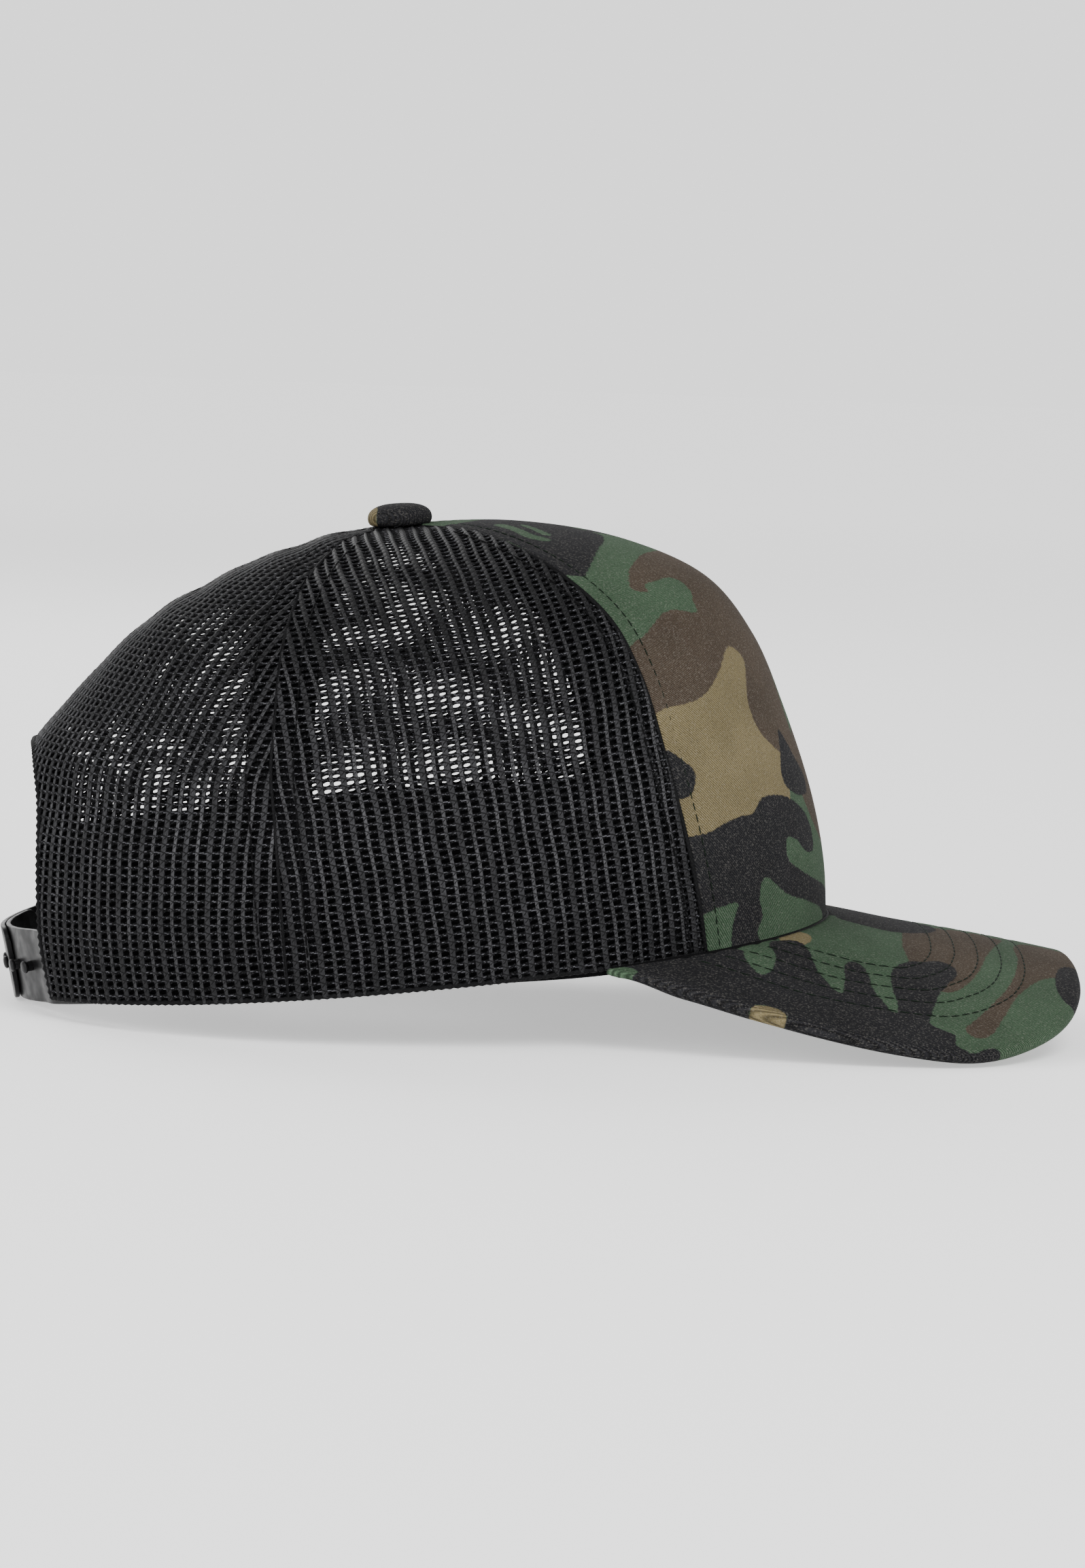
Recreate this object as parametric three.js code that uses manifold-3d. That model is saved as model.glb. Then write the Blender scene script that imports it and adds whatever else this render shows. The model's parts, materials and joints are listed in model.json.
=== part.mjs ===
// Trucker mesh cap: a structured twill front panel, four mesh panels, a curved visor, a covered
// button and a two-piece snap strap. Millimetres. +X points out along the visor, +Y is the wearer's
// left and +Z is up. The cap stands on the visor's two side edges and on the strap's lower edge.
import * as THREE from 'three';
import { mergeVertices } from 'three/addons/utils/BufferGeometryUtils.js';
import Module from 'manifold-3d';

// ---------- Driving dimensions ----------

// The crown's outer surface is carried by three lines from the hem up to the button. Each point is
// x, y, z. A closed ring at any height runs through them as a superellipse.
const FRONT_LINE = [[99.9, 0, 26.9], [98.8, 0, 41.3], [95.1, 0, 58.2], [86.9, 0, 80.7], [78.6, 0, 98.8],
  [66.9, 0, 112.8], [46.5, 0, 121.6], [18.2, 0, 125.7], [-12.7, 0, 124.6]];
const SIDE_LINE = [[-9.3, 81, 14.1], [-9.8, 82, 30], [-10.4, 80.5, 50], [-11.1, 76, 72], [-11.8, 65, 93],
  [-12.3, 46, 111.5], [-12.6, 24, 121.8], [-12.7, 0, 124.6]];
const REAR_LINE = [[-108.6, 0, 3.4], [-111.7, 0, 18.9], [-111.7, 0, 36.9], [-109.2, 0, 53], [-106.2, 0, 65],
  [-96.6, 0, 76.7], [-79.3, 0, 95.9], [-61.9, 0, 107.7], [-44.4, 0, 116.1], [-26.7, 0, 121.9],
  [-12.7, 0, 124.6]];
const RING_POWER = 2.1;
const CROWN_TOP = 0.975;      // the panels stop here, leaving a hole for the button's rivet

// Seams, as the cosine of the ring angle where they run.
const frontSeamCosine = (t) => 0.645 + 0.034 * (1 - t) ** 6;
const sideSeamCosine = (t) => -0.3 - 0.445 * t ** 2;
const SEAM_GAP = 0.4;

// Rear opening: an arch cut in the two rear panels.
const ARCH_HALF_WIDTH = 38.5;
const ARCH_TOP = 0.364;       // its height, as a fraction of the line from the hem to the button
const ARCH_POWER = 2.8;
const ARCH_BINDING_WIDTH = 8;
const REAR_LINE_LENGTH = 180;

// Depths of the sewn layers below the outer surface: [outer face, inner face].
const PANEL_DEPTH = [0, 0.9];
const BACKING_DEPTH = [1.2, 2.6];
const TAPE_DEPTH = [1.4, 2.0];
const ARCH_BINDING_DEPTH = [2.1, 2.6];
const HEM_BINDING_DEPTH = [2.4, 2.9];
const PADDING_DEPTH = [3.1, 4.6];
const SWEATBAND_DEPTH = [6, 6.7];
const TAPE_WIDTH = 15;
const SIDE_TAPE_BACK_LAP = 6.5;
const SIDE_TAPE_FRONT_LAP = 10;
const REAR_TAPE_WIDTH = 12;
const SWEATBAND_TOP = 0.22;   // 37 mm up from the hem

// Visor: the crest line falls forwards, and each cross-section is an arc of its own radius.
const VISOR_ROOT = { x: 99.9, z: 26.7 };
const visorCrest = (x) => VISOR_ROOT.z - 0.095 * (x - VISOR_ROOT.x) - 0.0008 * (x - VISOR_ROOT.x) ** 2;
const visorArcRadius = (x) => 179.5 + 0.8 * (128 - x) + 0.00008 * (128 - x) ** 3;
const VISOR_OUTLINE = [[43.5, 75.8], [59.7, 80.8], [77, 85], [93, 87.3], [110, 87.3], [128, 84], [138.7, 78],
  [150.4, 66], [157.4, 54], [162, 38], [163.8, 20], [164.2, 0]];
const VISOR_TOP_DEPTH = [0, 0.8];
const VISOR_BOARD_DEPTH = [1.2, 2.8];
const VISOR_BOTTOM_DEPTH = [3.2, 4.0];
const VISOR_RIM_DROP = 2.8;   // the top cover turns down over the board's edge to this depth
const VISOR_RIM_WIDTH = 1.1;
const VISOR_BOARD_INSET = 1.6;
const VISOR_ROOT_CLEARANCE = 0.5;
const VISOR_ROOT_RISE = 0.6;  // how far the root's top face stands above the crown's lower edge
const VISOR_ROOT_LIFT_REACH = 24;
const VISOR_END_ANGLE = 64.5; // ring angle, in degrees, where the visor's ends meet the hem

// The whole cap is turned nose up by this angle, in degrees, to stand on its strap and visor.
const STANDING_TILT = 0.34;

// Covered button.
const BUTTON_RADIUS = 8.2;
const BUTTON_HEIGHT = 4.6;
const BUTTON_SEAT = 0.35;
const BUTTON_TILT = 4.5;      // degrees, with the crown's slope under it

// Snap strap. Both straps follow one parabola across the opening and lean back with the crown.
const STRAP_REAR_X = -110.4;  // outer face, at mid height on the centre line
const STRAP_FOOT_Z = 0.5;
const STRAP_BEND = 0.0099;
const STRAP_HEIGHT = 18.8;
const STRAP_LEAN = 12.3;      // degrees
const STRAP_THICKNESS = 1.2;
const STRAP_STEP = 1.5;       // how much deeper the peg strap lies under the hole strap
const STRAP_BEVEL = 0.35;
const STRAP_CORNER = 4;
const STRAP_RISE = 0.2;       // rise of its line for each mm that it comes forwards round the head
const HINGE_Y = 33.8;
const HINGE_CLEARANCE = 0.45;  // each side of the hinge line stays this far from it
const ANCHOR_END_Y = 50;
const HOLE_STRAP_TIP_Y = -10.8;
const PEG_STRAP_TIP_Y = 24.8;
const PEG_PITCH = 8.8;
const PEG_COUNT = 6;
const HOLE_COUNT = 5;
const FIRST_HOLE_Y = -6.2;
const FIRST_PEG_Y = -23.8;
const HOLE_RADIUS = 2.3;
const PEG_FOOT_RADIUS = 1.75;
const PEG_TIP_RADIUS = 1.15;
const PEG_HEIGHT = 1.7;

// ---------- Colours ----------

const finish = (color, roughness, metalness = 0) =>
  new THREE.MeshStandardMaterial({ color, roughness, metalness });
const CAMO_TWILL = finish(0x3e583e, 0.92);
const LINING = finish(0x2a2a2c, 0.95);
const MESH_FABRIC = finish(0x1c1c1e, 0.6);
const TAPE_CLOTH = finish(0x18181a, 0.85);
const SWEAT_CLOTH = finish(0x202022, 0.9);
const FOAM = finish(0x303032, 0.95);
const STRAP_PLASTIC = finish(0x232324, 0.42);
const BOARD_PLASTIC = finish(0xd8d8d4, 0.5);
const STEEL = finish(0x9a9a9e, 0.35, 0.9);

// ---------- Closed sheets ----------

// A closed solid from two equal grids of points, the outer face and the inner face.
function closedSheet(outer, inner) {
  const rows = outer.length;
  const columns = outer[0].length;
  const at = (layer, i, j) => layer * rows * columns + i * columns + j;
  const positions = [...outer.flat(), ...inner.flat()].flatMap((p) => [p.x, p.y, p.z]);
  const indices = [];
  const quad = (a, b, c, d) => indices.push(a, b, c, a, c, d);
  for (let i = 0; i < rows - 1; i++) {
    for (let j = 0; j < columns - 1; j++) {
      quad(at(0, i, j), at(0, i, j + 1), at(0, i + 1, j + 1), at(0, i + 1, j));
      quad(at(1, i, j), at(1, i + 1, j), at(1, i + 1, j + 1), at(1, i, j + 1));
    }
  }
  for (let j = 0; j < columns - 1; j++) {
    quad(at(0, 0, j + 1), at(0, 0, j), at(1, 0, j), at(1, 0, j + 1));
    quad(at(0, rows - 1, j), at(0, rows - 1, j + 1), at(1, rows - 1, j + 1), at(1, rows - 1, j));
  }
  for (let i = 0; i < rows - 1; i++) {
    quad(at(0, i, 0), at(0, i + 1, 0), at(1, i + 1, 0), at(1, i, 0));
    quad(at(0, i + 1, columns - 1), at(0, i, columns - 1), at(1, i, columns - 1), at(1, i + 1, columns - 1));
  }
  const geometry = new THREE.BufferGeometry();
  geometry.setAttribute('position', new THREE.Float32BufferAttribute(positions, 3));
  geometry.setIndex(indices);
  return facingOut(geometry);
}

// Turns the faces over if the solid was wound inside out.
function facingOut(geometry) {
  const p = geometry.getAttribute('position');
  const index = geometry.getIndex();
  const [a, b, c] = [new THREE.Vector3(), new THREE.Vector3(), new THREE.Vector3()];
  let volume = 0;
  for (let k = 0; k < index.count; k += 3) {
    a.fromBufferAttribute(p, index.getX(k));
    b.fromBufferAttribute(p, index.getX(k + 1));
    c.fromBufferAttribute(p, index.getX(k + 2));
    volume += a.dot(b.cross(c));
  }
  if (volume < 0) {
    for (let k = 0; k < index.count; k += 3) {
      const second = index.getX(k + 1);
      index.setX(k + 1, index.getX(k + 2));
      index.setX(k + 2, second);
    }
  }
  geometry.computeVertexNormals();
  return geometry;
}

// A closed solid lofted through rings of equal length, with flat ends.
function loft(rings) {
  const size = rings[0].length;
  const positions = rings.flat().flatMap((p) => [p.x, p.y, p.z]);
  const indices = [];
  for (let i = 0; i < rings.length - 1; i++) {
    for (let j = 0; j < size; j++) {
      const k = (j + 1) % size;
      indices.push(i * size + j, i * size + k, (i + 1) * size + k);
      indices.push(i * size + j, (i + 1) * size + k, (i + 1) * size + j);
    }
  }
  const last = (rings.length - 1) * size;
  for (let j = 1; j < size - 1; j++) {
    indices.push(0, j + 1, j);
    indices.push(last, last + j, last + j + 1);
  }
  const geometry = new THREE.BufferGeometry();
  geometry.setAttribute('position', new THREE.Float32BufferAttribute(positions, 3));
  geometry.setIndex(indices);
  return facingOut(geometry);
}

const steps = (from, to, count) =>
  Array.from({ length: count + 1 }, (_, i) => from + (to - from) * i / count);
const smoothstep = (from, to, value) => THREE.MathUtils.smoothstep(value, from, to);

// ---------- Crown surface ----------

const line = (points) => new THREE.CatmullRomCurve3(points.map((p) => new THREE.Vector3(...p)));
const frontLine = line(FRONT_LINE);
const sideLine = line(SIDE_LINE);
const rearLine = line(REAR_LINE);

// A point on a crown line. Below the hem the line goes straight on.
function alongLine(curve, t) {
  if (t >= 0) return curve.getPointAt(t);
  return curve.getPointAt(0).addScaledVector(curve.getTangentAt(0), t * curve.getLength());
}

// t runs from 0 at the hem to 1 at the button. The ring angle is 0 at the front, positive to +Y.
function crownPoint(t, angle) {
  const front = alongLine(frontLine, t);
  const side = alongLine(sideLine, t);
  const rear = alongLine(rearLine, t);
  const power = 2 / RING_POWER;
  const c = Math.sign(Math.cos(angle)) * Math.abs(Math.cos(angle)) ** power;
  const s = Math.sign(Math.sin(angle)) * Math.abs(Math.sin(angle)) ** power;
  const reachFront = front.x - side.x;
  const reachRear = rear.x - side.x;
  const u = c > 0 ? reachFront * c : -reachRear * c;
  const slopeFront = (front.z - side.z) / reachFront;
  const slopeRear = (rear.z - side.z) / reachRear;
  const bow = (slopeFront - slopeRear) / (reachFront - reachRear);
  const slope = slopeFront - bow * reachFront;
  return new THREE.Vector3(side.x + u, side.y * s, side.z + slope * u + bow * u * u);
}

function crownNormal(t, angle) {
  const dt = 0.004;
  const da = 0.01;
  const high = Math.min(t + dt, 0.999);
  const along = crownPoint(high, angle).sub(crownPoint(high - 2 * dt, angle));
  const around = crownPoint(t, angle + da).sub(crownPoint(t, angle - da));
  return around.cross(along).normalize();
}

const crownInside = (t, angle, depth) => crownPoint(t, angle).addScaledVector(crownNormal(t, angle), -depth);

// The ring angle that moves a point by a distance, in mm, along the ring.
function ringAngle(t, angle, distance) {
  const da = 0.01;
  return distance * 2 * da / crownPoint(t, angle + da).distanceTo(crownPoint(t, angle - da));
}

const angleOfCosine = (c) => Math.acos(Math.sign(c) * Math.abs(c) ** (RING_POWER / 2));
const frontSeam = (t) => angleOfCosine(frontSeamCosine(Math.max(t, 0)));
const sideSeam = (t) => angleOfCosine(sideSeamCosine(Math.max(t, 0)));

// The ring angle of a point on the rear half, a given distance from the centre line.
function rearAngle(t, y) {
  const s = Math.min(y / alongLine(sideLine, t).y, 1);
  return Math.PI - Math.asin(s ** (RING_POWER / 2));
}

function archHalfWidth(t) {
  const rise = Math.max(t, 0) / ARCH_TOP;
  if (rise >= 1) return 0;
  return ARCH_HALF_WIDTH * (1 - rise ** ARCH_POWER) ** (1 / ARCH_POWER);
}

// Rows crowd together towards the top of the arch, so that its edge is evenly stepped.
const ARCH_ROWS = steps(0, Math.PI / 2, 6).map((a) => ARCH_TOP * Math.sin(a));
const CROWN_ROWS = [...ARCH_ROWS, ...steps(ARCH_TOP, CROWN_TOP, 9).slice(1)];
const LOW_ROWS = [0, ARCH_ROWS[1], ARCH_ROWS[2], SWEATBAND_TOP];

// A sheet that follows the crown between two edges, each a ring angle as a function of height.
function crownSheet(rows, fromAngle, toAngle, columns, [outerDepth, innerDepth]) {
  const grid = (depth) => rows.map((t) =>
    steps(fromAngle(t), toAngle(t), columns).map((angle) => crownInside(t, angle, depth)));
  return closedSheet(grid(outerDepth), grid(innerDepth));
}

const behind = (seam, distance) => (t) => seam(t) + ringAngle(t, seam(t), distance);

// ---------- Crown pieces ----------

function frontPanel(depth) {
  const edge = behind(frontSeam, -SEAM_GAP / 2);
  return crownSheet(CROWN_ROWS, (t) => -edge(t), edge, 12, depth);
}

function sideMesh(side) {
  const front = behind(frontSeam, SEAM_GAP / 2);
  const rear = behind(sideSeam, -SEAM_GAP / 2);
  return crownSheet(CROWN_ROWS, (t) => side * front(t), (t) => side * rear(t), 9, PANEL_DEPTH);
}

function rearMesh(side) {
  const front = behind(sideSeam, SEAM_GAP / 2);
  const centre = (t) => Math.PI - ringAngle(t, Math.PI, SEAM_GAP / 2);
  const rear = (t) => (t < ARCH_TOP ? rearAngle(t, archHalfWidth(t)) : centre(t));
  return crownSheet(CROWN_ROWS, (t) => side * front(t), (t) => side * rear(t), 10, PANEL_DEPTH);
}

// Seam tapes narrow towards the button, where the panels do.
const TAPE_ROWS = CROWN_ROWS.slice(0, -1);
const panelShare = (t, share) => share * (sideSeam(t) - frontSeam(t));

function frontSeamTape(side) {
  const near = behind(frontSeam, SEAM_GAP);
  const far = (t) => near(t) + Math.min(ringAngle(t, frontSeam(t), TAPE_WIDTH), panelShare(t, 0.4));
  return crownSheet(TAPE_ROWS, (t) => side * near(t), (t) => side * far(t), 2, TAPE_DEPTH);
}

function sideSeamTape(side) {
  const rear = behind(sideSeam, SIDE_TAPE_BACK_LAP);
  const front = (t) => {
    const lap = ringAngle(t, sideSeam(t), SIDE_TAPE_FRONT_LAP);
    return sideSeam(t) - Math.min(lap, panelShare(t, 0.4));
  };
  return crownSheet(TAPE_ROWS, (t) => side * front(t), (t) => side * rear(t), 2, TAPE_DEPTH);
}

function rearSeamTape() {
  const start = ARCH_TOP + (ARCH_BINDING_WIDTH + 1) / REAR_LINE_LENGTH;
  const rows = [start, ...TAPE_ROWS.filter((t) => t > start)];
  const edge = (t) => Math.min(ringAngle(t, Math.PI, REAR_TAPE_WIDTH / 2), 0.8 * (Math.PI - sideSeam(t)));
  return crownSheet(rows, (t) => Math.PI - edge(t), (t) => Math.PI + edge(t), 2, TAPE_DEPTH);
}

// The folded strip that finishes the arch, inside the rear panels.
function archBinding() {
  const lines = steps(0.3, ARCH_BINDING_WIDTH, 2);
  const grid = (depth) => lines.map((width) => steps(-1, 1, 24).map((u) => {
    const a = Math.abs(u) * Math.PI / 2;
    const power = 2 / ARCH_POWER;
    const t = (ARCH_TOP + width / REAR_LINE_LENGTH) * Math.cos(a) ** power;
    const y = (ARCH_HALF_WIDTH + width) * Math.sin(a) ** power;
    const angle = rearAngle(t, y);
    return crownInside(t, u < 0 ? -angle : angle, depth);
  }));
  return closedSheet(grid(ARCH_BINDING_DEPTH[0]), grid(ARCH_BINDING_DEPTH[1]));
}

function hemBinding(side) {
  const rows = [-0.006, 0.02, 0.045];
  const front = behind(frontSeam, 2);
  const rear = (t) => rearAngle(t, ARCH_HALF_WIDTH + ARCH_BINDING_WIDTH + 1);
  return crownSheet(rows, (t) => side * front(t), (t) => side * rear(t), 16, HEM_BINDING_DEPTH);
}

function sweatband() {
  const rear = (t) => rearAngle(t, archHalfWidth(t) + 2);
  return crownSheet(LOW_ROWS, (t) => -rear(t), rear, 36, SWEATBAND_DEPTH);
}

function foreheadPadding() {
  const edge = behind(frontSeam, -3);
  return crownSheet(LOW_ROWS.slice(0, 3), (t) => -edge(t), edge, 12, PADDING_DEPTH);
}

// ---------- Visor ----------

const outlineHalf = new THREE.CatmullRomCurve3(VISOR_OUTLINE.map(([x, y]) => new THREE.Vector3(x, y, 0)));

// The plan outline from the right end (s = -1) round the front to the left end (s = 1).
function visorEdge(s) {
  const p = outlineHalf.getPointAt(1 - Math.abs(s));
  return new THREE.Vector2(p.x, Math.sign(s) * p.y);
}

// The root line, just outside the crown's lower edge.
function visorRoot(s) {
  const angle = s * THREE.MathUtils.degToRad(VISOR_END_ANGLE);
  const p = crownPoint(0, angle);
  const out = crownNormal(0, angle).setZ(0).normalize();
  p.addScaledVector(out, VISOR_ROOT_CLEARANCE);
  return new THREE.Vector2(p.x, p.y);
}

function visorHeight(x, y) {
  const radius = visorArcRadius(x);
  return visorCrest(x) - radius + Math.sqrt(radius * radius - y * y);
}

function visorInside(x, y, depth) {
  const d = 0.5;
  const normal = new THREE.Vector3(visorHeight(x - d, y) - visorHeight(x + d, y),
    visorHeight(x, y - d) - visorHeight(x, y + d), 2 * d).normalize();
  return new THREE.Vector3(x, y, visorHeight(x, y)).addScaledVector(normal, -depth);
}

// How far the visor is pulled up at its root, so that it meets the crown's lower edge all round.
function rootLift(s, root) {
  const hem = crownPoint(0, s * THREE.MathUtils.degToRad(VISOR_END_ANGLE));
  return hem.z + VISOR_ROOT_RISE - visorHeight(root.x, root.y);
}

// A visor layer. Rays run from the outline in to the root, less an inset at each end, and the lower
// face may change its depth with the distance from the outline.
function visorLayer(edgeInset, rootInset, upperDepth, lowerDepthAt, rimRows = []) {
  const stations = steps(-1, 1, 28).map((u) => u * (1.25 - 0.25 * Math.abs(u)));
  const grid = (depthAt) => stations.map((s) => {
    const root = visorRoot(s);
    const edge = visorEdge(s);
    const length = root.distanceTo(edge);
    const inner = steps(VISOR_BOARD_INSET, length - rootInset, 3).slice(1);
    const distances = [edgeInset, ...rimRows, ...inner];
    const lift = rootLift(s, root);
    return distances.map((distance) => {
      const p = edge.clone().lerp(root, distance / length);
      const point = visorInside(p.x, p.y, depthAt(distance));
      point.z += lift * (1 - smoothstep(0, VISOR_ROOT_LIFT_REACH, length - distance));
      return point;
    });
  });
  return closedSheet(grid(() => upperDepth), grid(lowerDepthAt));
}

function visorTopCover() {
  const [upper, lower] = VISOR_TOP_DEPTH;
  const turnedDown = (distance) => (distance < VISOR_RIM_WIDTH ? VISOR_RIM_DROP : lower);
  return visorLayer(0, 0, upper, turnedDown, [VISOR_RIM_WIDTH - 0.1, VISOR_RIM_WIDTH]);
}

function visorBoard() {
  const [upper, lower] = VISOR_BOARD_DEPTH;
  return visorLayer(VISOR_BOARD_INSET, 1, upper, () => lower);
}

function visorBottomCover() {
  const [upper, lower] = VISOR_BOTTOM_DEPTH;
  return visorLayer(0, 0, upper, () => lower);
}

// ---------- Button ----------

const CROWN_PEAK = crownPoint(0.999, 0).z;

// A turned piece from a closed outline of radius and height points.
function turned(outline, segments = 20) {
  const points = [...outline, outline[0]].map(([r, z]) => new THREE.Vector2(r, z));
  const geometry = new THREE.LatheGeometry(points, segments).rotateX(Math.PI / 2);
  return facingOut(weld(geometry));
}

function weld(geometry) {
  geometry.deleteAttribute('normal');
  geometry.deleteAttribute('uv');
  return mergeVertices(geometry, 1e-4);
}

// Points of a dome from its rim up to the axis.
const dome = (radius, low, high, count) => steps(0, Math.PI / 2, count).map((a) =>
  [radius * Math.cos(a) ** 0.75, low + (high - low) * Math.sin(a) ** 0.9]);
const DOME_STEPS = 5;
const COVER_CLOTH = 0.7;
const SHELL_WALL = 0.5;
const LAYER_GAP = 0.4;

function buttonCover() {
  const rim = BUTTON_SEAT;
  const outside = dome(BUTTON_RADIUS, rim + 1.2, rim + BUTTON_HEIGHT, DOME_STEPS);
  const inside = dome(BUTTON_RADIUS - COVER_CLOTH, rim + 1.2, rim + BUTTON_HEIGHT - COVER_CLOTH, DOME_STEPS);
  return turned([[BUTTON_RADIUS - 2, rim], [BUTTON_RADIUS - 0.5, rim], ...snapToAxis(outside),
    ...snapToAxis(inside).reverse(), [BUTTON_RADIUS - COVER_CLOTH - 0.4, rim + 0.5],
    [BUTTON_RADIUS - 2, rim + 0.5]]);
}

function buttonShell() {
  const rim = BUTTON_SEAT + 0.9;
  const radius = BUTTON_RADIUS - COVER_CLOTH - LAYER_GAP;
  const top = BUTTON_SEAT + BUTTON_HEIGHT - COVER_CLOTH - LAYER_GAP;
  const outside = dome(radius, rim + 0.3, top, DOME_STEPS);
  const inside = dome(radius - SHELL_WALL, rim + 0.3, top - SHELL_WALL, DOME_STEPS);
  return turned([...snapToAxis(outside), ...snapToAxis(inside).reverse(), [radius - SHELL_WALL, rim],
    [radius, rim]]);
}

const snapToAxis = (points) => points.map(([r, z]) => [r < 1e-6 ? 0 : r, z]);

const RIVET_RADIUS = 1.6;
const RIVET_HEAD_RADIUS = 4.6;
const RIVET_FOOT_RADIUS = 3.2;
const WASHER_RADIUS = 6.5;
const WASHER_TOP = -3.1;
const WASHER_THICKNESS = 0.8;

function buttonRivet() {
  const foot = WASHER_TOP - WASHER_THICKNESS - LAYER_GAP;
  return turned([[0, 1.9], [RIVET_HEAD_RADIUS, 1.9], [RIVET_HEAD_RADIUS, 1.4], [RIVET_RADIUS, 1.2],
    [RIVET_RADIUS, foot], [RIVET_FOOT_RADIUS, foot], [RIVET_FOOT_RADIUS, foot - 0.6], [0, foot - 0.6]]);
}

function buttonWasher() {
  const low = WASHER_TOP - WASHER_THICKNESS;
  const hole = RIVET_RADIUS + LAYER_GAP;
  return turned([[hole, low], [WASHER_RADIUS, low], [WASHER_RADIUS, WASHER_TOP], [hole, WASHER_TOP]]);
}

// ---------- Snap strap ----------

const LEAN = THREE.MathUtils.degToRad(STRAP_LEAN);
const STRAP_UP = new THREE.Vector3(-Math.sin(LEAN), 0, Math.cos(LEAN));
const STRAP_MID_Z = STRAP_FOOT_Z + STRAP_HEIGHT / 2 * Math.cos(LEAN);

// Outward direction of the strap's face, square to the lean and to its run.
function strapOut(y) {
  const run = new THREE.Vector3(2 * STRAP_BEND * y, 1, STRAP_RISE * 2 * STRAP_BEND * y);
  return run.cross(STRAP_UP).normalize().negate();
}

function strapFace(y) {
  const forward = STRAP_BEND * y * y;
  return new THREE.Vector3(STRAP_REAR_X + forward, y, STRAP_MID_Z + STRAP_RISE * forward);
}

const strapInside = (y, depth) => strapFace(y).addScaledVector(strapOut(y), -depth);

// The peg strap leaves its anchor level with it, then steps in under the hole strap.
const pegStrapStep = (y) => STRAP_STEP * smoothstep(-HINGE_Y, -26.5, y);

// One section, bevelled along both edges of the outer face.
function strapSection(y, depth, half) {
  const corner = (height, inward) => strapInside(y, depth + inward).addScaledVector(STRAP_UP, height);
  const edge = half - STRAP_BEVEL;
  return [corner(-half, STRAP_BEVEL), corner(-half, STRAP_THICKNESS), corner(half, STRAP_THICKNESS),
    corner(half, STRAP_BEVEL), corner(edge, 0), corner(-edge, 0)];
}

// Half height near a free tip, where the corners are rounded off.
function tipHalfHeight(distance) {
  const d = Math.min(distance, STRAP_CORNER);
  return STRAP_HEIGHT / 2 - STRAP_CORNER + Math.sqrt(STRAP_CORNER ** 2 - (STRAP_CORNER - d) ** 2);
}

function strapBody(rootY, tipY, depthAt) {
  const toRoot = Math.sign(rootY - tipY);
  const tip = [0.15, 0.6, 1.4, 2.6, STRAP_CORNER].map((d) => tipY + toRoot * d);
  const rest = steps(tip[tip.length - 1], rootY, 14).slice(1);
  return loft([...tip, ...rest].map((y) => strapSection(y, depthAt(y), tipHalfHeight(Math.abs(y - tipY)))));
}

function strapAnchor(side) {
  const stations = steps(side * (HINGE_Y + HINGE_CLEARANCE), side * ANCHOR_END_Y, 5);
  return loft(stations.map((y) => strapSection(y, 0, STRAP_HEIGHT / 2)));
}

// A round rod along the strap's outward direction, from one depth to another.
function strapRod(y, fromDepth, toDepth, footRadius, tipRadius) {
  const height = fromDepth - toDepth;
  const rod = weld(new THREE.CylinderGeometry(tipRadius, footRadius, height, 12));
  rod.applyQuaternion(new THREE.Quaternion().setFromUnitVectors(new THREE.Vector3(0, 1, 0), strapOut(y)));
  const middle = strapInside(y, (fromDepth + toDepth) / 2);
  return rod.translate(middle.x, middle.y, middle.z);
}

const wasm = await Module();
wasm.setup();

function toManifold(geometry) {
  const welded = weld(geometry.clone());
  const vertProperties = Float32Array.from(welded.getAttribute('position').array);
  const triVerts = Uint32Array.from(welded.getIndex().array);
  return new wasm.Manifold(new wasm.Mesh({ numProp: 3, vertProperties, triVerts }));
}

function fromManifold(solid) {
  const { vertProperties, triVerts } = solid.getMesh();
  const geometry = new THREE.BufferGeometry();
  geometry.setAttribute('position', new THREE.Float32BufferAttribute(vertProperties, 3));
  geometry.setIndex(Array.from(triVerts));
  geometry.computeVertexNormals();
  return geometry;
}

const pitched = (first, count) => Array.from({ length: count }, (_, i) => first + i * PEG_PITCH);

function holeStrap() {
  let solid = toManifold(strapBody(HINGE_Y - HINGE_CLEARANCE, HOLE_STRAP_TIP_Y, () => 0));
  for (const y of pitched(FIRST_HOLE_Y, HOLE_COUNT)) {
    solid = solid.subtract(toManifold(strapRod(y, STRAP_THICKNESS + 1, -1, HOLE_RADIUS, HOLE_RADIUS)));
  }
  return fromManifold(solid);
}

function pegStrap() {
  let solid = toManifold(strapBody(-HINGE_Y + HINGE_CLEARANCE, PEG_STRAP_TIP_Y, pegStrapStep));
  for (const y of pitched(FIRST_PEG_Y, PEG_COUNT)) {
    const face = pegStrapStep(y);
    const peg = strapRod(y, face + 0.5, face - PEG_HEIGHT, PEG_FOOT_RADIUS, PEG_TIP_RADIUS);
    solid = solid.add(toManifold(peg));
  }
  return fromManifold(solid);
}

// ---------- Assembly ----------

function piece(name, geometry, material) {
  const mesh = new THREE.Mesh(geometry, material);
  mesh.name = name;
  return mesh;
}

// Moves a piece into a group that stands on its hinge line, without moving it in the cap.
function hinged(name, pivot, mesh) {
  const group = new THREE.Group();
  group.name = name;
  group.position.copy(pivot);
  mesh.position.copy(pivot).negate();
  group.add(mesh);
  return group;
}

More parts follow.
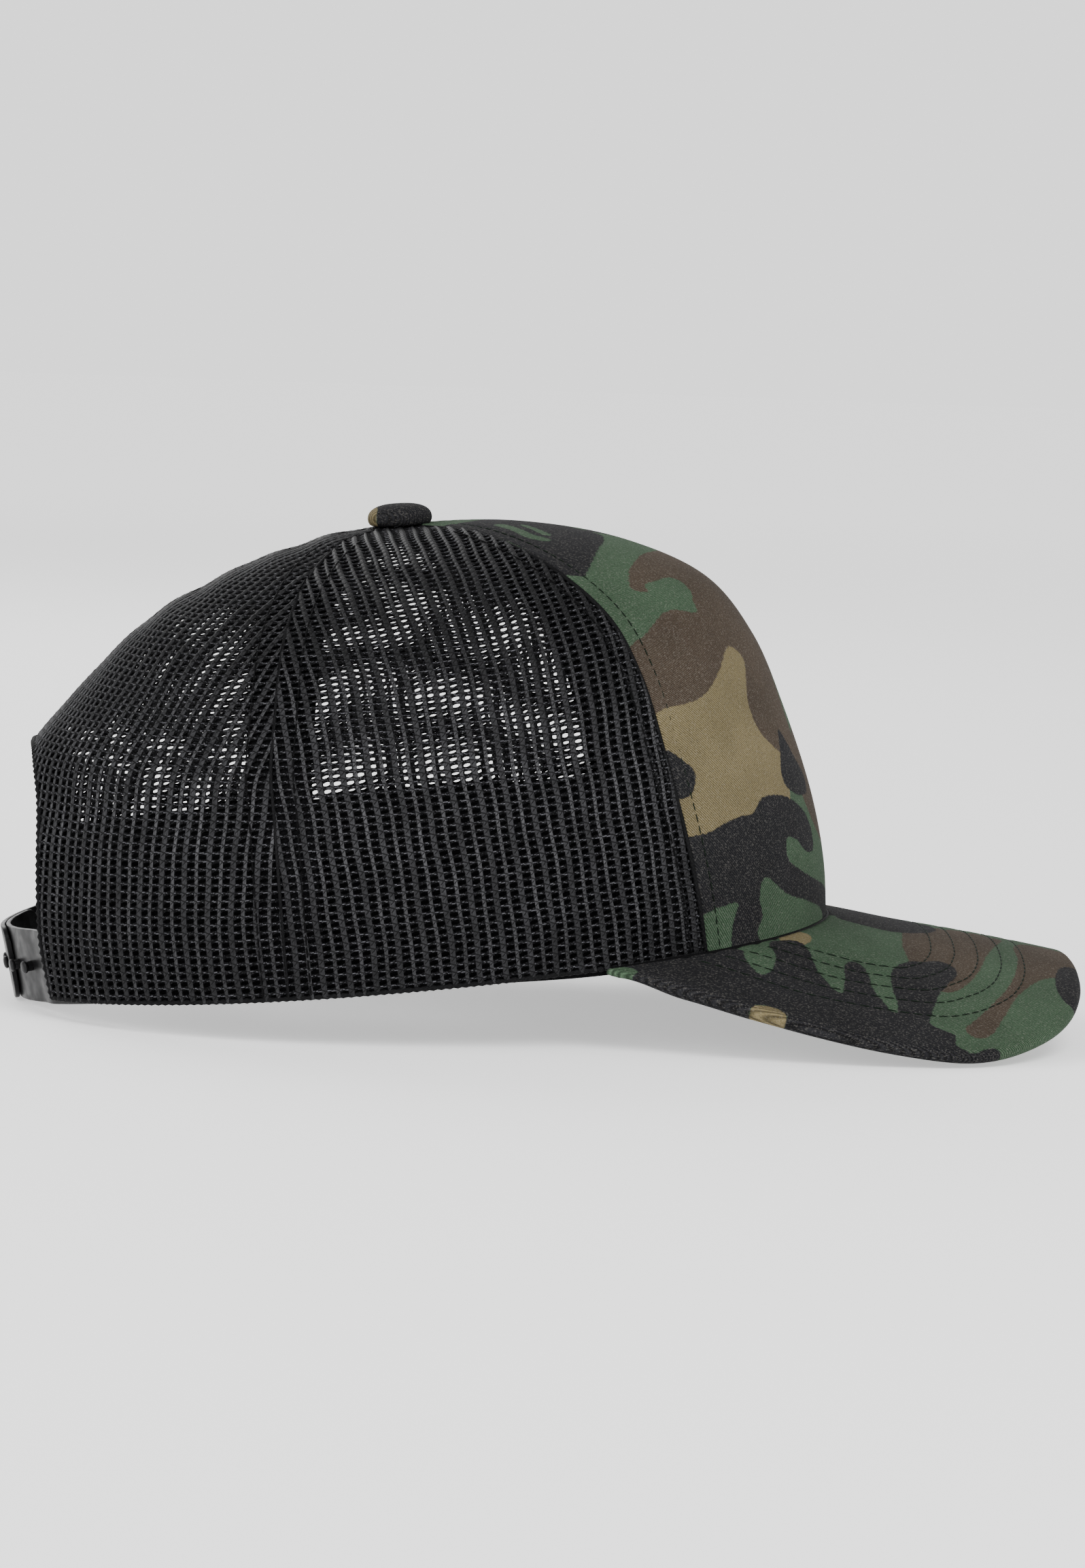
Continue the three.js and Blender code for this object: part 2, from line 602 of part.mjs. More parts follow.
const crown = new THREE.Group();
crown.add(
  piece('front_panel', frontPanel(PANEL_DEPTH), CAMO_TWILL),
  piece('front_backing', frontPanel(BACKING_DEPTH), LINING),
  piece('forehead_padding', foreheadPadding(), FOAM),
  piece('sweatband', sweatband(), SWEAT_CLOTH),
  piece('rear_seam_tape', rearSeamTape(), TAPE_CLOTH),
  piece('rear_opening_binding', archBinding(), MESH_FABRIC),
);
for (const [hand, side] of [['right', -1], ['left', 1]]) {
  crown.add(
    piece(`side_mesh_${hand}`, sideMesh(side), MESH_FABRIC),
    piece(`rear_mesh_${hand}`, rearMesh(side), MESH_FABRIC),
    piece(`front_seam_tape_${hand}`, frontSeamTape(side), TAPE_CLOTH),
    piece(`side_seam_tape_${hand}`, sideSeamTape(side), TAPE_CLOTH),
    piece(`hem_binding_${hand}`, hemBinding(side), TAPE_CLOTH),
    piece(`strap_anchor_${hand}`, strapAnchor(side), STRAP_PLASTIC),
  );
}

const visor = new THREE.Group();
visor.add(
  piece('visor_top_cover', visorTopCover(), CAMO_TWILL),
  piece('visor_board', visorBoard(), BOARD_PLASTIC),
  piece('visor_bottom_cover', visorBottomCover(), CAMO_TWILL),
);

const button = new THREE.Group();
button.position.set(FRONT_LINE.at(-1)[0], 0, CROWN_PEAK);
button.rotation.y = -THREE.MathUtils.degToRad(BUTTON_TILT);
button.add(
  piece('button_cover', buttonCover(), CAMO_TWILL),
  piece('button_shell', buttonShell(), STEEL),
  piece('button_rivet', buttonRivet(), STEEL),
  piece('button_washer', buttonWasher(), STEEL),
);

const strap = new THREE.Group();
const hingeMiddle = (y) => strapInside(y, STRAP_THICKNESS / 2);
strap.add(
  hinged('hole_strap_hinge', hingeMiddle(HINGE_Y), piece('snap_strap_holes', holeStrap(), STRAP_PLASTIC)),
  hinged('peg_strap_hinge', hingeMiddle(-HINGE_Y), piece('snap_strap_pegs', pegStrap(), STRAP_PLASTIC)),
);

// The origin is on the table, under the middle of the cap's outline.
const cap = new THREE.Group();
cap.add(crown, visor, button, strap);
cap.rotation.y = -THREE.MathUtils.degToRad(STANDING_TILT);
const bounds = new THREE.Box3().setFromObject(cap, true);
const middle = bounds.getCenter(new THREE.Vector3());
cap.position.set(-middle.x, -middle.y, -bounds.min.z);

export default cap;
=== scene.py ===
import json
import math

import bmesh
import bpy
import numpy as np
from mathutils import Matrix, Vector
from mathutils.bvhtree import BVHTree


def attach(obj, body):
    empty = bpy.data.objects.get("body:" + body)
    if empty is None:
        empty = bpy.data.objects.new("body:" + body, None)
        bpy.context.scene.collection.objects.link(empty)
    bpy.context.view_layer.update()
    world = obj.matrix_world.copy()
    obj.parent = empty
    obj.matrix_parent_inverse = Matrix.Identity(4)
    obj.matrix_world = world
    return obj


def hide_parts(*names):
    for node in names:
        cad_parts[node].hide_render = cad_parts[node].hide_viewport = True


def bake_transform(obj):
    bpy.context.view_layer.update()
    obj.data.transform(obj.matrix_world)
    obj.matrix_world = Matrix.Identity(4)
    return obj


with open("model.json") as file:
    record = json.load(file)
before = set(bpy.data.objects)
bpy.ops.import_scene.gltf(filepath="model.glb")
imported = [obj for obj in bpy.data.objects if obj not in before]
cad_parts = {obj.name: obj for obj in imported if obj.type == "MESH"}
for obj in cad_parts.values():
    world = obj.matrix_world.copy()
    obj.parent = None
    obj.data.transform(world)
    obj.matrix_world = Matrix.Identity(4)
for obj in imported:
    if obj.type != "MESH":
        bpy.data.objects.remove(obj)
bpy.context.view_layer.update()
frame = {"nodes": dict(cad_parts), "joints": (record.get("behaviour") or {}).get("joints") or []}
MM = 0.001
RIGHT, LEFT = -1, 1
SIDES = {"right": RIGHT, "left": LEFT}

# ---------- Driving dimensions, in millimetres before the cap is placed ----------

FRONT_LINE = [(99.9, 0, 26.9), (98.8, 0, 41.3), (95.1, 0, 58.2), (86.9, 0, 80.7), (78.6, 0, 98.8),
              (66.9, 0, 112.8), (46.5, 0, 121.6), (18.2, 0, 125.7), (-12.7, 0, 124.6)]
SIDE_LINE = [(-9.3, 81, 14.1), (-9.8, 82, 30), (-10.4, 80.5, 50), (-11.1, 76, 72), (-11.8, 65, 93),
             (-12.3, 46, 111.5), (-12.6, 24, 121.8), (-12.7, 0, 124.6)]
REAR_LINE = [(-108.6, 0, 3.4), (-111.7, 0, 18.9), (-111.7, 0, 36.9), (-109.2, 0, 53), (-106.2, 0, 65),
             (-96.6, 0, 76.7), (-79.3, 0, 95.9), (-61.9, 0, 107.7), (-44.4, 0, 116.1), (-26.7, 0, 121.9),
             (-12.7, 0, 124.6)]
RING_POWER = 2.1
CROWN_TOP = 0.975
CROWN_LENGTH = 165            # a typical length from the hem to the button
STANDING_TILT = math.radians(0.34)
ARCH_HALF_WIDTH = 38.5
ARCH_TOP = 0.364
ARCH_POWER = 2.8
REAR_LINE_LENGTH = 177
SWEATBAND_TOP = 0.22

VISOR_ROOT_X, VISOR_ROOT_Z = 99.9, 26.7
VISOR_OUTLINE = [(43.5, 75.8, 0), (59.7, 80.8, 0), (77, 85, 0), (93, 87.3, 0), (110, 87.3, 0),
                 (128, 84, 0), (138.7, 78, 0), (150.4, 66, 0), (157.4, 54, 0), (162, 38, 0),
                 (163.8, 20, 0), (164.2, 0, 0)]
VISOR_CROSS_RADIUS = 179.5    # the visor's bend from side to side, at its front
VISOR_THICKNESS = 4.0
VISOR_CLOTH = 0.8
VISOR_ROOT_CLEARANCE = 0.5
VISOR_ROOT_RISE = 0.6
VISOR_ROOT_LIFT_REACH = 24
VISOR_END_ANGLE = math.radians(64.5)
VISOR_STITCH_ROWS = [14.5 + 6 * k for k in range(5)]

STRAP_REAR_X = -110.4
STRAP_FOOT_Z = 0.5
STRAP_BEND = 0.0099
STRAP_RISE = 0.2
STRAP_HEIGHT = 18.8
STRAP_LEAN = math.radians(12.3)
STRAP_THICKNESS = 1.2
STRAP_STEP = 1.5
STRAP_CORNER = 4
HINGE_Y = 33.8
ANCHOR_END_Y = 50
HOLE_STRAP_TIP_Y = -10.8
PEG_STRAP_TIP_Y = 24.8
PEG_PITCH = 8.8
HOLES_AT = [-6.2 + PEG_PITCH * k for k in range(5)]
PEGS_AT = [-23.8 + PEG_PITCH * k for k in range(6)]

WALE = 3.2                    # the knit's rib pitch
COURSE = 2.0                  # and its row pitch

# ---------- Small mathematics ----------


def smoothstep(low, high, value):
    t = np.clip((value - low) / (high - low), 0, 1)
    return t * t * (3 - 2 * t)


def running_length(points):
    """How far along a polyline each of its points lies."""
    return np.concatenate([[0], np.cumsum(np.linalg.norm(np.diff(points, axis=0), axis=1))])


def read_along(points, run, at):
    return np.stack([np.interp(at, run, column) for column in points.T], axis=-1)


def curve_through(points, steps=60):
    """The centripetal Catmull-Rom curve through the points: a fine polyline and its running length."""
    p = np.array(points, float)
    p = np.vstack([2 * p[0] - p[1], p, 2 * p[-1] - p[-2]])
    t = np.linspace(0, 1, steps)[:, None]
    found = []
    for a, b, c, d in zip(p, p[1:], p[2:], p[3:]):
        k0, k1, k2 = (max(np.linalg.norm(v), 1e-4) ** 0.5 for v in (b - a, c - b, d - c))
        out = ((b - a) / k0 - (c - a) / (k0 + k1) + (c - b) / k1) * k1
        into = ((c - b) / k1 - (d - b) / (k1 + k2) + (d - c) / k2) * k1
        found.append((2 * t**3 - 3 * t**2 + 1) * b + (t**3 - 2 * t**2 + t) * out
                     + (3 * t**2 - 2 * t**3) * c + (t**3 - t**2) * into)
    line = np.vstack(found)
    return line, running_length(line)


def along(curve, t):
    """Points of a curve at shares of its length. Before its start it goes straight on."""
    line, run = curve
    t = np.asarray(t, float)
    start = (line[1] - line[0]) / (run[1] - run[0])
    return read_along(line, run, np.clip(t, 0, 1) * run[-1]) + np.minimum(t, 0)[..., None] * run[-1] * start


def unit(v):
    return v / np.linalg.norm(v, axis=-1, keepdims=True)


def resampled(points, spacing):
    """Points at an even spacing along a polyline."""
    run = running_length(points)
    return read_along(points, run, np.linspace(0, run[-1], max(int(run[-1] / spacing), 2) + 1))


# ---------- Crown surface ----------

front_line, side_line, rear_line = (curve_through(p) for p in (FRONT_LINE, SIDE_LINE, REAR_LINE))


def crown_point(t, angle):
    """t is 0 at the hem and 1 at the button. The ring angle is 0 at the front and positive to the left."""
    t, angle = np.broadcast_arrays(np.asarray(t, float), np.asarray(angle, float))
    front, side, rear = along(front_line, t), along(side_line, t), along(rear_line, t)
    c = np.sign(np.cos(angle)) * np.abs(np.cos(angle)) ** (2 / RING_POWER)
    s = np.sign(np.sin(angle)) * np.abs(np.sin(angle)) ** (2 / RING_POWER)
    reach_front = front[..., 0] - side[..., 0]
    reach_rear = rear[..., 0] - side[..., 0]
    u = np.where(c > 0, reach_front * c, -reach_rear * c)
    slope_front = (front[..., 2] - side[..., 2]) / reach_front
    slope_rear = (rear[..., 2] - side[..., 2]) / reach_rear
    bow = (slope_front - slope_rear) / (reach_front - reach_rear)
    slope = slope_front - bow * reach_front
    return np.stack([side[..., 0] + u, side[..., 1] * s, side[..., 2] + slope * u + bow * u * u], axis=-1)


def crown_normal(t, angle):
    dt, da = 0.004, 0.01
    high = np.minimum(t + dt, 0.999)
    up = crown_point(high, angle) - crown_point(high - 2 * dt, angle)
    around = crown_point(t, angle + da) - crown_point(t, angle - da)
    return unit(np.cross(around, up))


def crown_inside(t, angle, depth):
    return crown_point(t, angle) - crown_normal(t, angle) * np.asarray(depth)[..., None]


RING_T = np.linspace(-0.03, 0.985, 204)
RING_ANGLE = np.linspace(0, math.pi, 361)
ring_points = crown_point(RING_T[:, None], RING_ANGLE[None, :])
RING_RUN = np.concatenate([np.zeros((len(RING_T), 1)),
                           np.cumsum(np.linalg.norm(np.diff(ring_points, axis=1), axis=2), axis=1)], axis=1)


def by_ring(t, value, read):
    """Reads a value in the two nearest rings of the table, and mixes them."""
    t, value = np.broadcast_arrays(np.asarray(t, float), np.asarray(value, float))
    row = np.clip((t - RING_T[0]) / (RING_T[1] - RING_T[0]), 0, len(RING_T) - 1.001)
    low = row.astype(int)
    found = np.empty(t.shape)
    for i in np.unique(low):
        here = low == i
        share = row[here] - i
        found[here] = (1 - share) * read(i, value[here]) + share * read(i + 1, value[here])
    return found


def angle_at(t, s):
    """The ring angle at a distance round the ring from the centre front."""
    return np.sign(s) * by_ring(t, np.abs(s), lambda i, v: np.interp(v, RING_RUN[i], RING_ANGLE))


def round_at(t, angle):
    """The distance round the ring from the centre front to a ring angle."""
    return by_ring(t, angle, lambda i, v: np.interp(v, RING_ANGLE, RING_RUN[i]))


def angle_of_cosine(c):
    return np.arccos(np.sign(c) * np.abs(c) ** (RING_POWER / 2))


def front_seam(t):
    """The front seam's distance round the ring from the centre front."""
    t = np.clip(t, 0, 1)
    return round_at(t, angle_of_cosine(0.645 + 0.034 * (1 - t) ** 6))


def side_seam(t):
    t = np.clip(t, 0, 1)
    return round_at(t, angle_of_cosine(-0.3 - 0.445 * t**2))


def centre_back(t):
    return round_at(t, np.full(np.shape(t), math.pi))


def rear_angle(t, y):
    """The ring angle of a point on the rear half, a given distance from the centre line."""
    s = np.clip(y / along(side_line, t)[..., 1], 0, 1)
    return math.pi - np.arcsin(s ** (RING_POWER / 2))


def arch_half_width(t):
    rise = np.clip(np.asarray(t, float) / ARCH_TOP, 0, 1)
    return ARCH_HALF_WIDTH * (1 - rise**ARCH_POWER) ** (1 / ARCH_POWER)


# ---------- Placing the cap in the row frame ----------


def tilted(p, tilt=STANDING_TILT):
    """Turns points nose up. The standing tilt stands the cap on its strap and visor."""
    c, s = math.cos(tilt), math.sin(tilt)
    p = np.asarray(p, float)
    return np.stack([p[..., 0] * c - p[..., 2] * s, p[..., 1], p[..., 0] * s + p[..., 2] * c], axis=-1)


STRAP_UP = np.array([-math.sin(STRAP_LEAN), 0, math.cos(STRAP_LEAN)])
STRAP_MID_Z = STRAP_FOOT_Z + STRAP_HEIGHT / 2 * math.cos(STRAP_LEAN)


def strap_out(y):
    """Outward direction of the strap's face."""
    slope = 2 * STRAP_BEND * np.asarray(y, float)
    run = np.stack([slope, np.ones_like(slope), STRAP_RISE * slope], axis=-1)
    return -unit(np.cross(run, STRAP_UP))


def strap_inside(y, depth):
    y = np.asarray(y, float)
    forward = STRAP_BEND * y * y
    face = np.stack([STRAP_REAR_X + forward, y, STRAP_MID_Z + STRAP_RISE * forward], axis=-1)
    return face - strap_out(y) * np.asarray(depth)[..., None]


hinge = next(j for j in frame["joints"] if j["name"] == "hole_strap_swing")
SHIFT = np.array(hinge["pos_m"]) / MM - tilted(strap_inside(HINGE_Y, STRAP_THICKNESS / 2))


def place(points):
    """From millimetres in the cap's own drawing to metres in the row frame."""
    return (tilted(points) + SHIFT) * MM


def unplace(point):
    """Back to the cap's own drawing."""
    return tilted(np.asarray(point) / MM - SHIFT, -STANDING_TILT)


# ---------- Meshes ----------


def new_piece(name, points, faces, material, replaced=(), slot=None, body="cap", **values):
    """A smooth mesh from points in the row frame, riding on a body. values are numbers for each vertex."""
    mesh = bpy.data.meshes.new(name)
    mesh.from_pydata(np.asarray(points).tolist(), [], faces)
    mesh.polygons.foreach_set("use_smooth", [True] * len(mesh.polygons))
    for key, numbers in values.items():
        attribute = mesh.attributes.new(key, "FLOAT", "POINT")
        attribute.data.foreach_set("value", np.asarray(numbers, np.float32).ravel())
    mesh.update()
    mesh.materials.append(material)
    piece = bpy.data.objects.new(name, mesh)
    bpy.context.scene.collection.objects.link(piece)
    if body:
        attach(piece, body)
    if replaced:
        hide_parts(*replaced)
    return piece


def grid_faces(present, flipped=False):
    """Closed faces of two stacked grids, the outer one first, wherever a cell is present."""
    rows, columns = present.shape
    index = np.arange((rows + 1) * (columns + 1)).reshape(rows + 1, columns + 1)
    below = index.size
    a, b, c, d = index[:-1, :-1], index[:-1, 1:], index[1:, 1:], index[1:, :-1]
    front = np.stack([a, b, c, d], axis=-1)[present]
    back = np.stack([d, c, b, a], axis=-1)[present] + below
    walls = []
    framed = np.pad(present, 1)
    rims = ((framed[1:, 1:-1], framed[:-1, 1:-1], index[:, 1:], index[:, :-1]),
            (framed[1:-1, 1:], framed[1:-1, :-1], index[:-1, :], index[1:, :]))
    for here, before, p, q in rims:
        walls.append(np.stack([p, q, q + below, p + below], axis=-1)[here & ~before])
        walls.append(np.stack([q, p, p + below, q + below], axis=-1)[~here & before])
    faces = np.concatenate([front, back, *walls])
    return faces[:, ::-1] if flipped else faces


def used_only(points, faces, values):
    """Drops the vertices that no face uses."""
    used, renumbered = np.unique(faces, return_inverse=True)
    kept = {key: v[used] for key, v in values.items()}
    return points[used], renumbered.reshape(-1, 4).tolist(), kept


def sheet_faces(rows, columns):
    return grid_faces(np.ones((rows - 1, columns - 1), bool)).tolist()


def swept(rings):
    """Faces of a closed solid lofted through rings of points: an array of rings by points by 3."""
    count, size = rings.shape[:2]
    index = np.arange(count * size).reshape(count, size)
    nxt = np.roll(index, -1, axis=1)
    faces = np.stack([index[:-1], nxt[:-1], nxt[1:], index[1:]], axis=-1).reshape(-1, 4).tolist()
    return faces + [index[0][::-1].tolist(), index[-1].tolist()]


def outward(piece):
    """Turns a closed mesh's faces outwards."""
    mesh = bmesh.new()
    mesh.from_mesh(piece.data)
    bmesh.ops.recalc_face_normals(mesh, faces=mesh.faces)
    mesh.to_mesh(piece.data)
    mesh.free()
    return piece


def two_grids(outer, inner):
    """The points of a sheet's two faces, in the row frame."""
    return place(np.concatenate([outer.reshape(-1, 3), inner.reshape(-1, 3)]))


def lofted(name, rings, material, **options):
    return outward(new_piece(name, place(rings.reshape(-1, 3)), swept(rings), material, **options))


def bead(name, path, radius, material, bump=0.0):
    """A round bead along a path, with an even bump along it like the edge of a knit."""
    p = resampled(path, COURSE / 4)
    tangent = unit(np.gradient(p, axis=0))
    side = unit(np.cross(tangent, [0.0, 0.3, 1.0]))
    over = np.cross(side, tangent)
    turn = np.linspace(0, 2 * math.pi, 8, endpoint=False)
    swell = radius * (1 + bump * np.cos(np.arange(len(p)) * math.pi / 2))
    swell[[0, -1]] *= 0.4
    rings = (p[:, None] + swell[:, None, None] * (np.cos(turn)[None, :, None] * side[:, None]
             + np.sin(turn)[None, :, None] * over[:, None]))
    return lofted(name, rings, material)


# A stitch's profile: share of its length, share of its radius, and lift in radii.
STITCH_PROFILE = [(-0.5, 0.25, -0.28), (-0.36, 0.85, 0.0), (0.0, 1.0, 0.1), (0.36, 0.85, 0.0),
                  (0.5, 0.25, -0.28)]
STITCH_SINK = 0.06
STITCH_SIDES = 6


def stitches(name, rows, material, length, gap, radius):
    """Short threads along rows. Each row is a pair of arrays: points on the cloth, and its normals."""
    points, faces = [], []
    turn = np.linspace(0, 2 * math.pi, STITCH_SIDES, endpoint=False)
    closed = swept(np.zeros((len(STITCH_PROFILE), STITCH_SIDES)))
    for path, normals in rows:
        both = np.hstack([path, normals])
        run = running_length(path)
        for start in np.arange(gap, run[-1] - length, length + gap):
            at = np.clip(start + length / 2 + np.array([-0.5, 0, 0.5]) * length, 0, run[-1])
            near = read_along(both, run, at)
            direction = unit(near[2, :3] - near[0, :3])
            up = unit(near[1, 3:])
            side = np.cross(direction, up)
            first = len(points)
            for share, swell, lift in STITCH_PROFILE:
                middle = near[1, :3] + direction * share * length
                middle = middle + up * (radius * (0.55 + lift) - STITCH_SINK)
                points += [middle + radius * swell * (math.cos(w) * side + math.sin(w) * 0.8 * up)
                           for w in turn]
            faces += [[first + k for k in face] for face in closed]
    return outward(new_piece(name, place(np.array(points)), faces, material))


# ---------- Materials ----------


def srgb(r, g, b):
    """A colour given as it looks on a screen, 0 to 255, as linear light."""
    def linear(v):
        v /= 255
        return v / 12.92 if v <= 0.04045 else ((v + 0.055) / 1.055) ** 2.4
    return (linear(r), linear(g), linear(b), 1)


class Nodes:
    """Short names for the shader nodes that the materials share."""

    def __init__(self, name, roughness, specular=None, metallic=0.0):
        self.material = bpy.data.materials.new(name)
        self.material.use_nodes = True
        self.tree = self.material.node_tree
        self.shader = self.tree.nodes["Principled BSDF"]
        self.shader.inputs["Roughness"].default_value = roughness
        self.shader.inputs["Metallic"].default_value = metallic
        if specular is not None:
            self.shader.inputs["Specular IOR Level"].default_value = specular

    def node(self, kind, settings=None, **inputs):
        made = self.tree.nodes.new("ShaderNode" + kind)
        for key, value in (settings or {}).items():
            setattr(made, key, value)
        for key, value in inputs.items():
            self.put(made.inputs[int(key[1:]) if key[0] == "_" else key], value)
        return made

    def put(self, socket, value):
        if isinstance(value, bpy.types.NodeSocket):
            self.tree.links.new(value, socket)
        elif socket.type == "VECTOR" and len(value) == 4:
            socket.default_value = value[:3]
        else:
            socket.default_value = value

    def math(self, operation, a, b=0.0, c=0.0):
        return self.node("Math", {"operation": operation}, _0=a, _1=b, _2=c).outputs[0]

    def ramp(self, value, low, high, start=0.0, end=1.0):
        made = self.node("MapRange", {"interpolation_type": "SMOOTHSTEP"})
        for key, number in zip(range(5), (value, low, high, start, end)):
            self.put(made.inputs[key], number)
        return made.outputs[0]

    def mix(self, factor, a, b):
        made = self.node("Mix", {"data_type": "RGBA"})
        for socket, value in ((0, factor), (6, a), (7, b)):
            self.put(made.inputs[socket], value)
        return made.outputs[2]

    def scaled(self, colour, factor):
        """A colour times a number."""
        made = self.node("VectorMath", {"operation": "SCALE"})
        self.put(made.inputs[0], colour)
        self.put(made.inputs["Scale"], factor)
        return made.outputs[0]

    def value(self, name):
        return self.node("Attribute", {"attribute_name": name}).outputs["Fac"]

    def place(self, scale=(1, 1, 1)):
        """The point in the row frame, scaled."""
        coordinate = self.node("TexCoord").outputs["Object"]
        return self.node("Mapping", {}, Vector=coordinate, Scale=scale).outputs[0]

    def noise(self, vector, scale, detail=2.0, roughness=0.5):
        made = self.node("TexNoise", {}, Vector=vector, Scale=scale, Detail=detail, Roughness=roughness)
        return made.outputs["Fac"]

    def finish(self, colour, height, depth):
        """Sets the colour, and a bump of a depth in millimetres."""
        self.put(self.shader.inputs["Base Color"], colour)
        bump = self.node("Bump", {}, Height=height, Distance=depth * MM, Strength=1.0)
        self.put(self.shader.inputs["Normal"], bump.outputs[0])
        return self.material


CHARCOAL = srgb(27, 27, 29)
GREEN = srgb(53, 69, 53)
BROWN = srgb(59, 51, 43)
TAN = srgb(97, 88, 64)
BARE_FIBRE = srgb(205, 200, 190)
BROAD_SATIN, NARROW_SATIN = srgb(43, 43, 45), srgb(60, 60, 62)
# The two lighter link colours are painted glints and a painted highlight on the dark links.
LINK_DARK, LINK_PAINTED_GLINT, LINK_PAINTED_HIGHLIGHT = srgb(10, 10, 11), srgb(52, 52, 54), srgb(84, 84, 88)
CROSS_THREAD = srgb(4, 4, 5)
BRIGHT_STEEL = srgb(150, 150, 154)
PALE_FLOOR = srgb(243, 243, 243)
TWILL_PITCH = 0.58


def camo_twill(name):
    """Camouflage printed on washed twill. Each print colour has a signed distance, in millimetres."""
    n = Nodes(name, roughness=0.88, specular=0.08)
    spot = n.place()
    waver = n.math("MULTIPLY", n.math("SUBTRACT", n.noise(spot, 900, 2), 0.5), 1.1)
    colour = GREEN
    for key, ink in (("brown", BROWN), ("tan", TAN), ("charcoal", CHARCOAL)):
        distance = n.math("ADD", n.value(key), waver)
        colour = n.mix(n.ramp(distance, -0.25, 0.25, 1, 0), colour, ink)
    across = n.math("ADD", n.value("twill"), n.math("MULTIPLY", n.noise(spot, 500, 1), 0.3))
    rib = n.math("SINE", n.math("MULTIPLY", across, 2 * math.pi))
    fleck = n.ramp(n.noise(n.place((1, 1, 1.6)), 1700, 2, 0.7), 0.5, 0.7)
    dark = n.ramp(n.noise(spot, 2600, 1), 0.3, 0.52, 0.7, 1.0)
    worn = n.ramp(n.noise(spot, 45, 3), 0.3, 0.7, 0.88, 1.12)
    shade = n.math("MULTIPLY", n.math("MULTIPLY_ADD", rib, 0.5, 1.04), n.math("MULTIPLY", worn, dark))
    colour = n.scaled(colour, shade)
    colour = n.mix(n.math("MULTIPLY", fleck, 0.07), colour, BARE_FIBRE)
    height = n.math("ADD", n.math("MULTIPLY", rib, 0.5), n.math("MULTIPLY", fleck, 0.4))
    return n.finish(colour, height, 0.06)


def knit_fabric(name):
    """Satin ribs crossed by thin dark threads, with speckled links between them. The ribs carry a painted
    sheen band by height, and the links carry painted glints and a painted highlight along their threads.
    """
    n = Nodes(name, roughness=0.55)
    wale, course = n.value("wale"), n.value("course")
    x = n.math("SUBTRACT", n.math("FRACT", n.math("ADD", wale, 0.5)), 0.5)
    c = n.math("SUBTRACT", n.math("FRACT", n.math("ADD", course, 0.5)), 0.5)
    narrow = n.math("GREATER_THAN", n.math("FRACT", n.math("MULTIPLY_ADD", wale, 0.5, 0.25)), 0.5)
    width = n.math("MULTIPLY_ADD", narrow, -0.08, 0.235)
    rib = n.ramp(n.math("SUBTRACT", n.math("ABSOLUTE", x), width), -0.04, 0.0, 1, 0)
    spot = n.place()
    height = n.node("SeparateXYZ", {}, Vector=spot).outputs[2]
    # Painted sheen: the satin ribs are painted lighter in a band about 50 to 70 mm up, where light catches
    # them, and darker below and above it.
    painted_sheen_band = n.math("MULTIPLY", n.ramp(height, 0.008, 0.05, 0.5, 1.0),
                 n.ramp(height, 0.07, 0.105, 1.0, 0.42))
    # Random tone of the yarn, times the painted sheen band.
    tone_and_painted_sheen = n.math("MULTIPLY", n.ramp(n.noise(spot, 110, 2), 0.3, 0.7, 0.7, 1.25), painted_sheen_band)
    fibre = n.ramp(n.noise(n.place((1, 1, 0.25)), 3600, 2), 0.3, 0.7, 0.6, 1.3)
    satin = n.mix(narrow, BROAD_SATIN, NARROW_SATIN)
    satin = n.scaled(satin, n.math("MULTIPLY", tone_and_painted_sheen, fibre))
    strand = n.ramp(n.math("ABSOLUTE", n.math("ADD", c, n.math("MULTIPLY", x, 0.12))), 0.03, 0.09, 1, 0)
    # Painted highlight: light beads along the middle of each link's thread.
    painted_highlight_beads = n.math("MULTIPLY", strand, n.ramp(n.noise(spot, 1500, 2, 0.6), 0.42, 0.62))
    # Painted glints: light speckles scattered over the links.
    painted_glint_speckle = n.ramp(n.noise(spot, 2600, 2, 0.6), 0.5, 0.72, 0.0, 0.6)
    links = n.mix(painted_highlight_beads, n.mix(painted_glint_speckle, LINK_DARK, LINK_PAINTED_GLINT), LINK_PAINTED_HIGHLIGHT)
    colour = n.mix(rib, links, satin)
    threads = None
    for offset, slope in ((0.06, 0.6), (-0.3, -1.7)):
        line = n.math("ABSOLUTE", n.math("SUBTRACT", c, n.math("MULTIPLY_ADD", x, slope, offset)))
        line = n.ramp(line, 0.05, 0.11, 1, 0)
        threads = line if threads is None else n.math("MAXIMUM", threads, line)
    dark = n.math("MULTIPLY", threads, n.math("MULTIPLY_ADD", narrow, -0.12, 0.94))
    colour = n.mix(n.math("MULTIPLY", dark, rib), colour, CROSS_THREAD)
    relief = n.math("SUBTRACT", n.math("MULTIPLY", fibre, 0.5), n.math("MULTIPLY", threads, 1.4))
    n.put(n.shader.inputs["Specular IOR Level"], n.math("MULTIPLY_ADD", rib, 0.1, 0.03))
    return n.finish(colour, relief, 0.08)


def woven(name, colour, pitch, contrast=0.14, roughness=0.9, stripes=None):
    """A plain woven cloth in a single colour. stripes is the pitch of raised lines round the crown."""
    n = Nodes(name, roughness, specular=0.06)
    scale = 2 * math.pi / (pitch * MM)
    x, y, z = n.node("SeparateXYZ", {}, Vector=n.place()).outputs[:3]
    if stripes:
        height = n.math("SINE", n.math("MULTIPLY", z, 2 * math.pi / (stripes * MM)))
    else:
        across = n.math("SINE", n.math("MULTIPLY", n.math("ADD", x, y), scale))
        height = n.math("MULTIPLY", across, n.math("SINE", n.math("MULTIPLY", z, scale)))
    shade = n.math("MULTIPLY", n.math("MULTIPLY_ADD", height, contrast, 1.0),
                   n.ramp(n.noise(n.place(), 350, 2), 0.3, 0.7, 0.85, 1.15))
    return n.finish(n.scaled(colour, shade), height, 0.06)


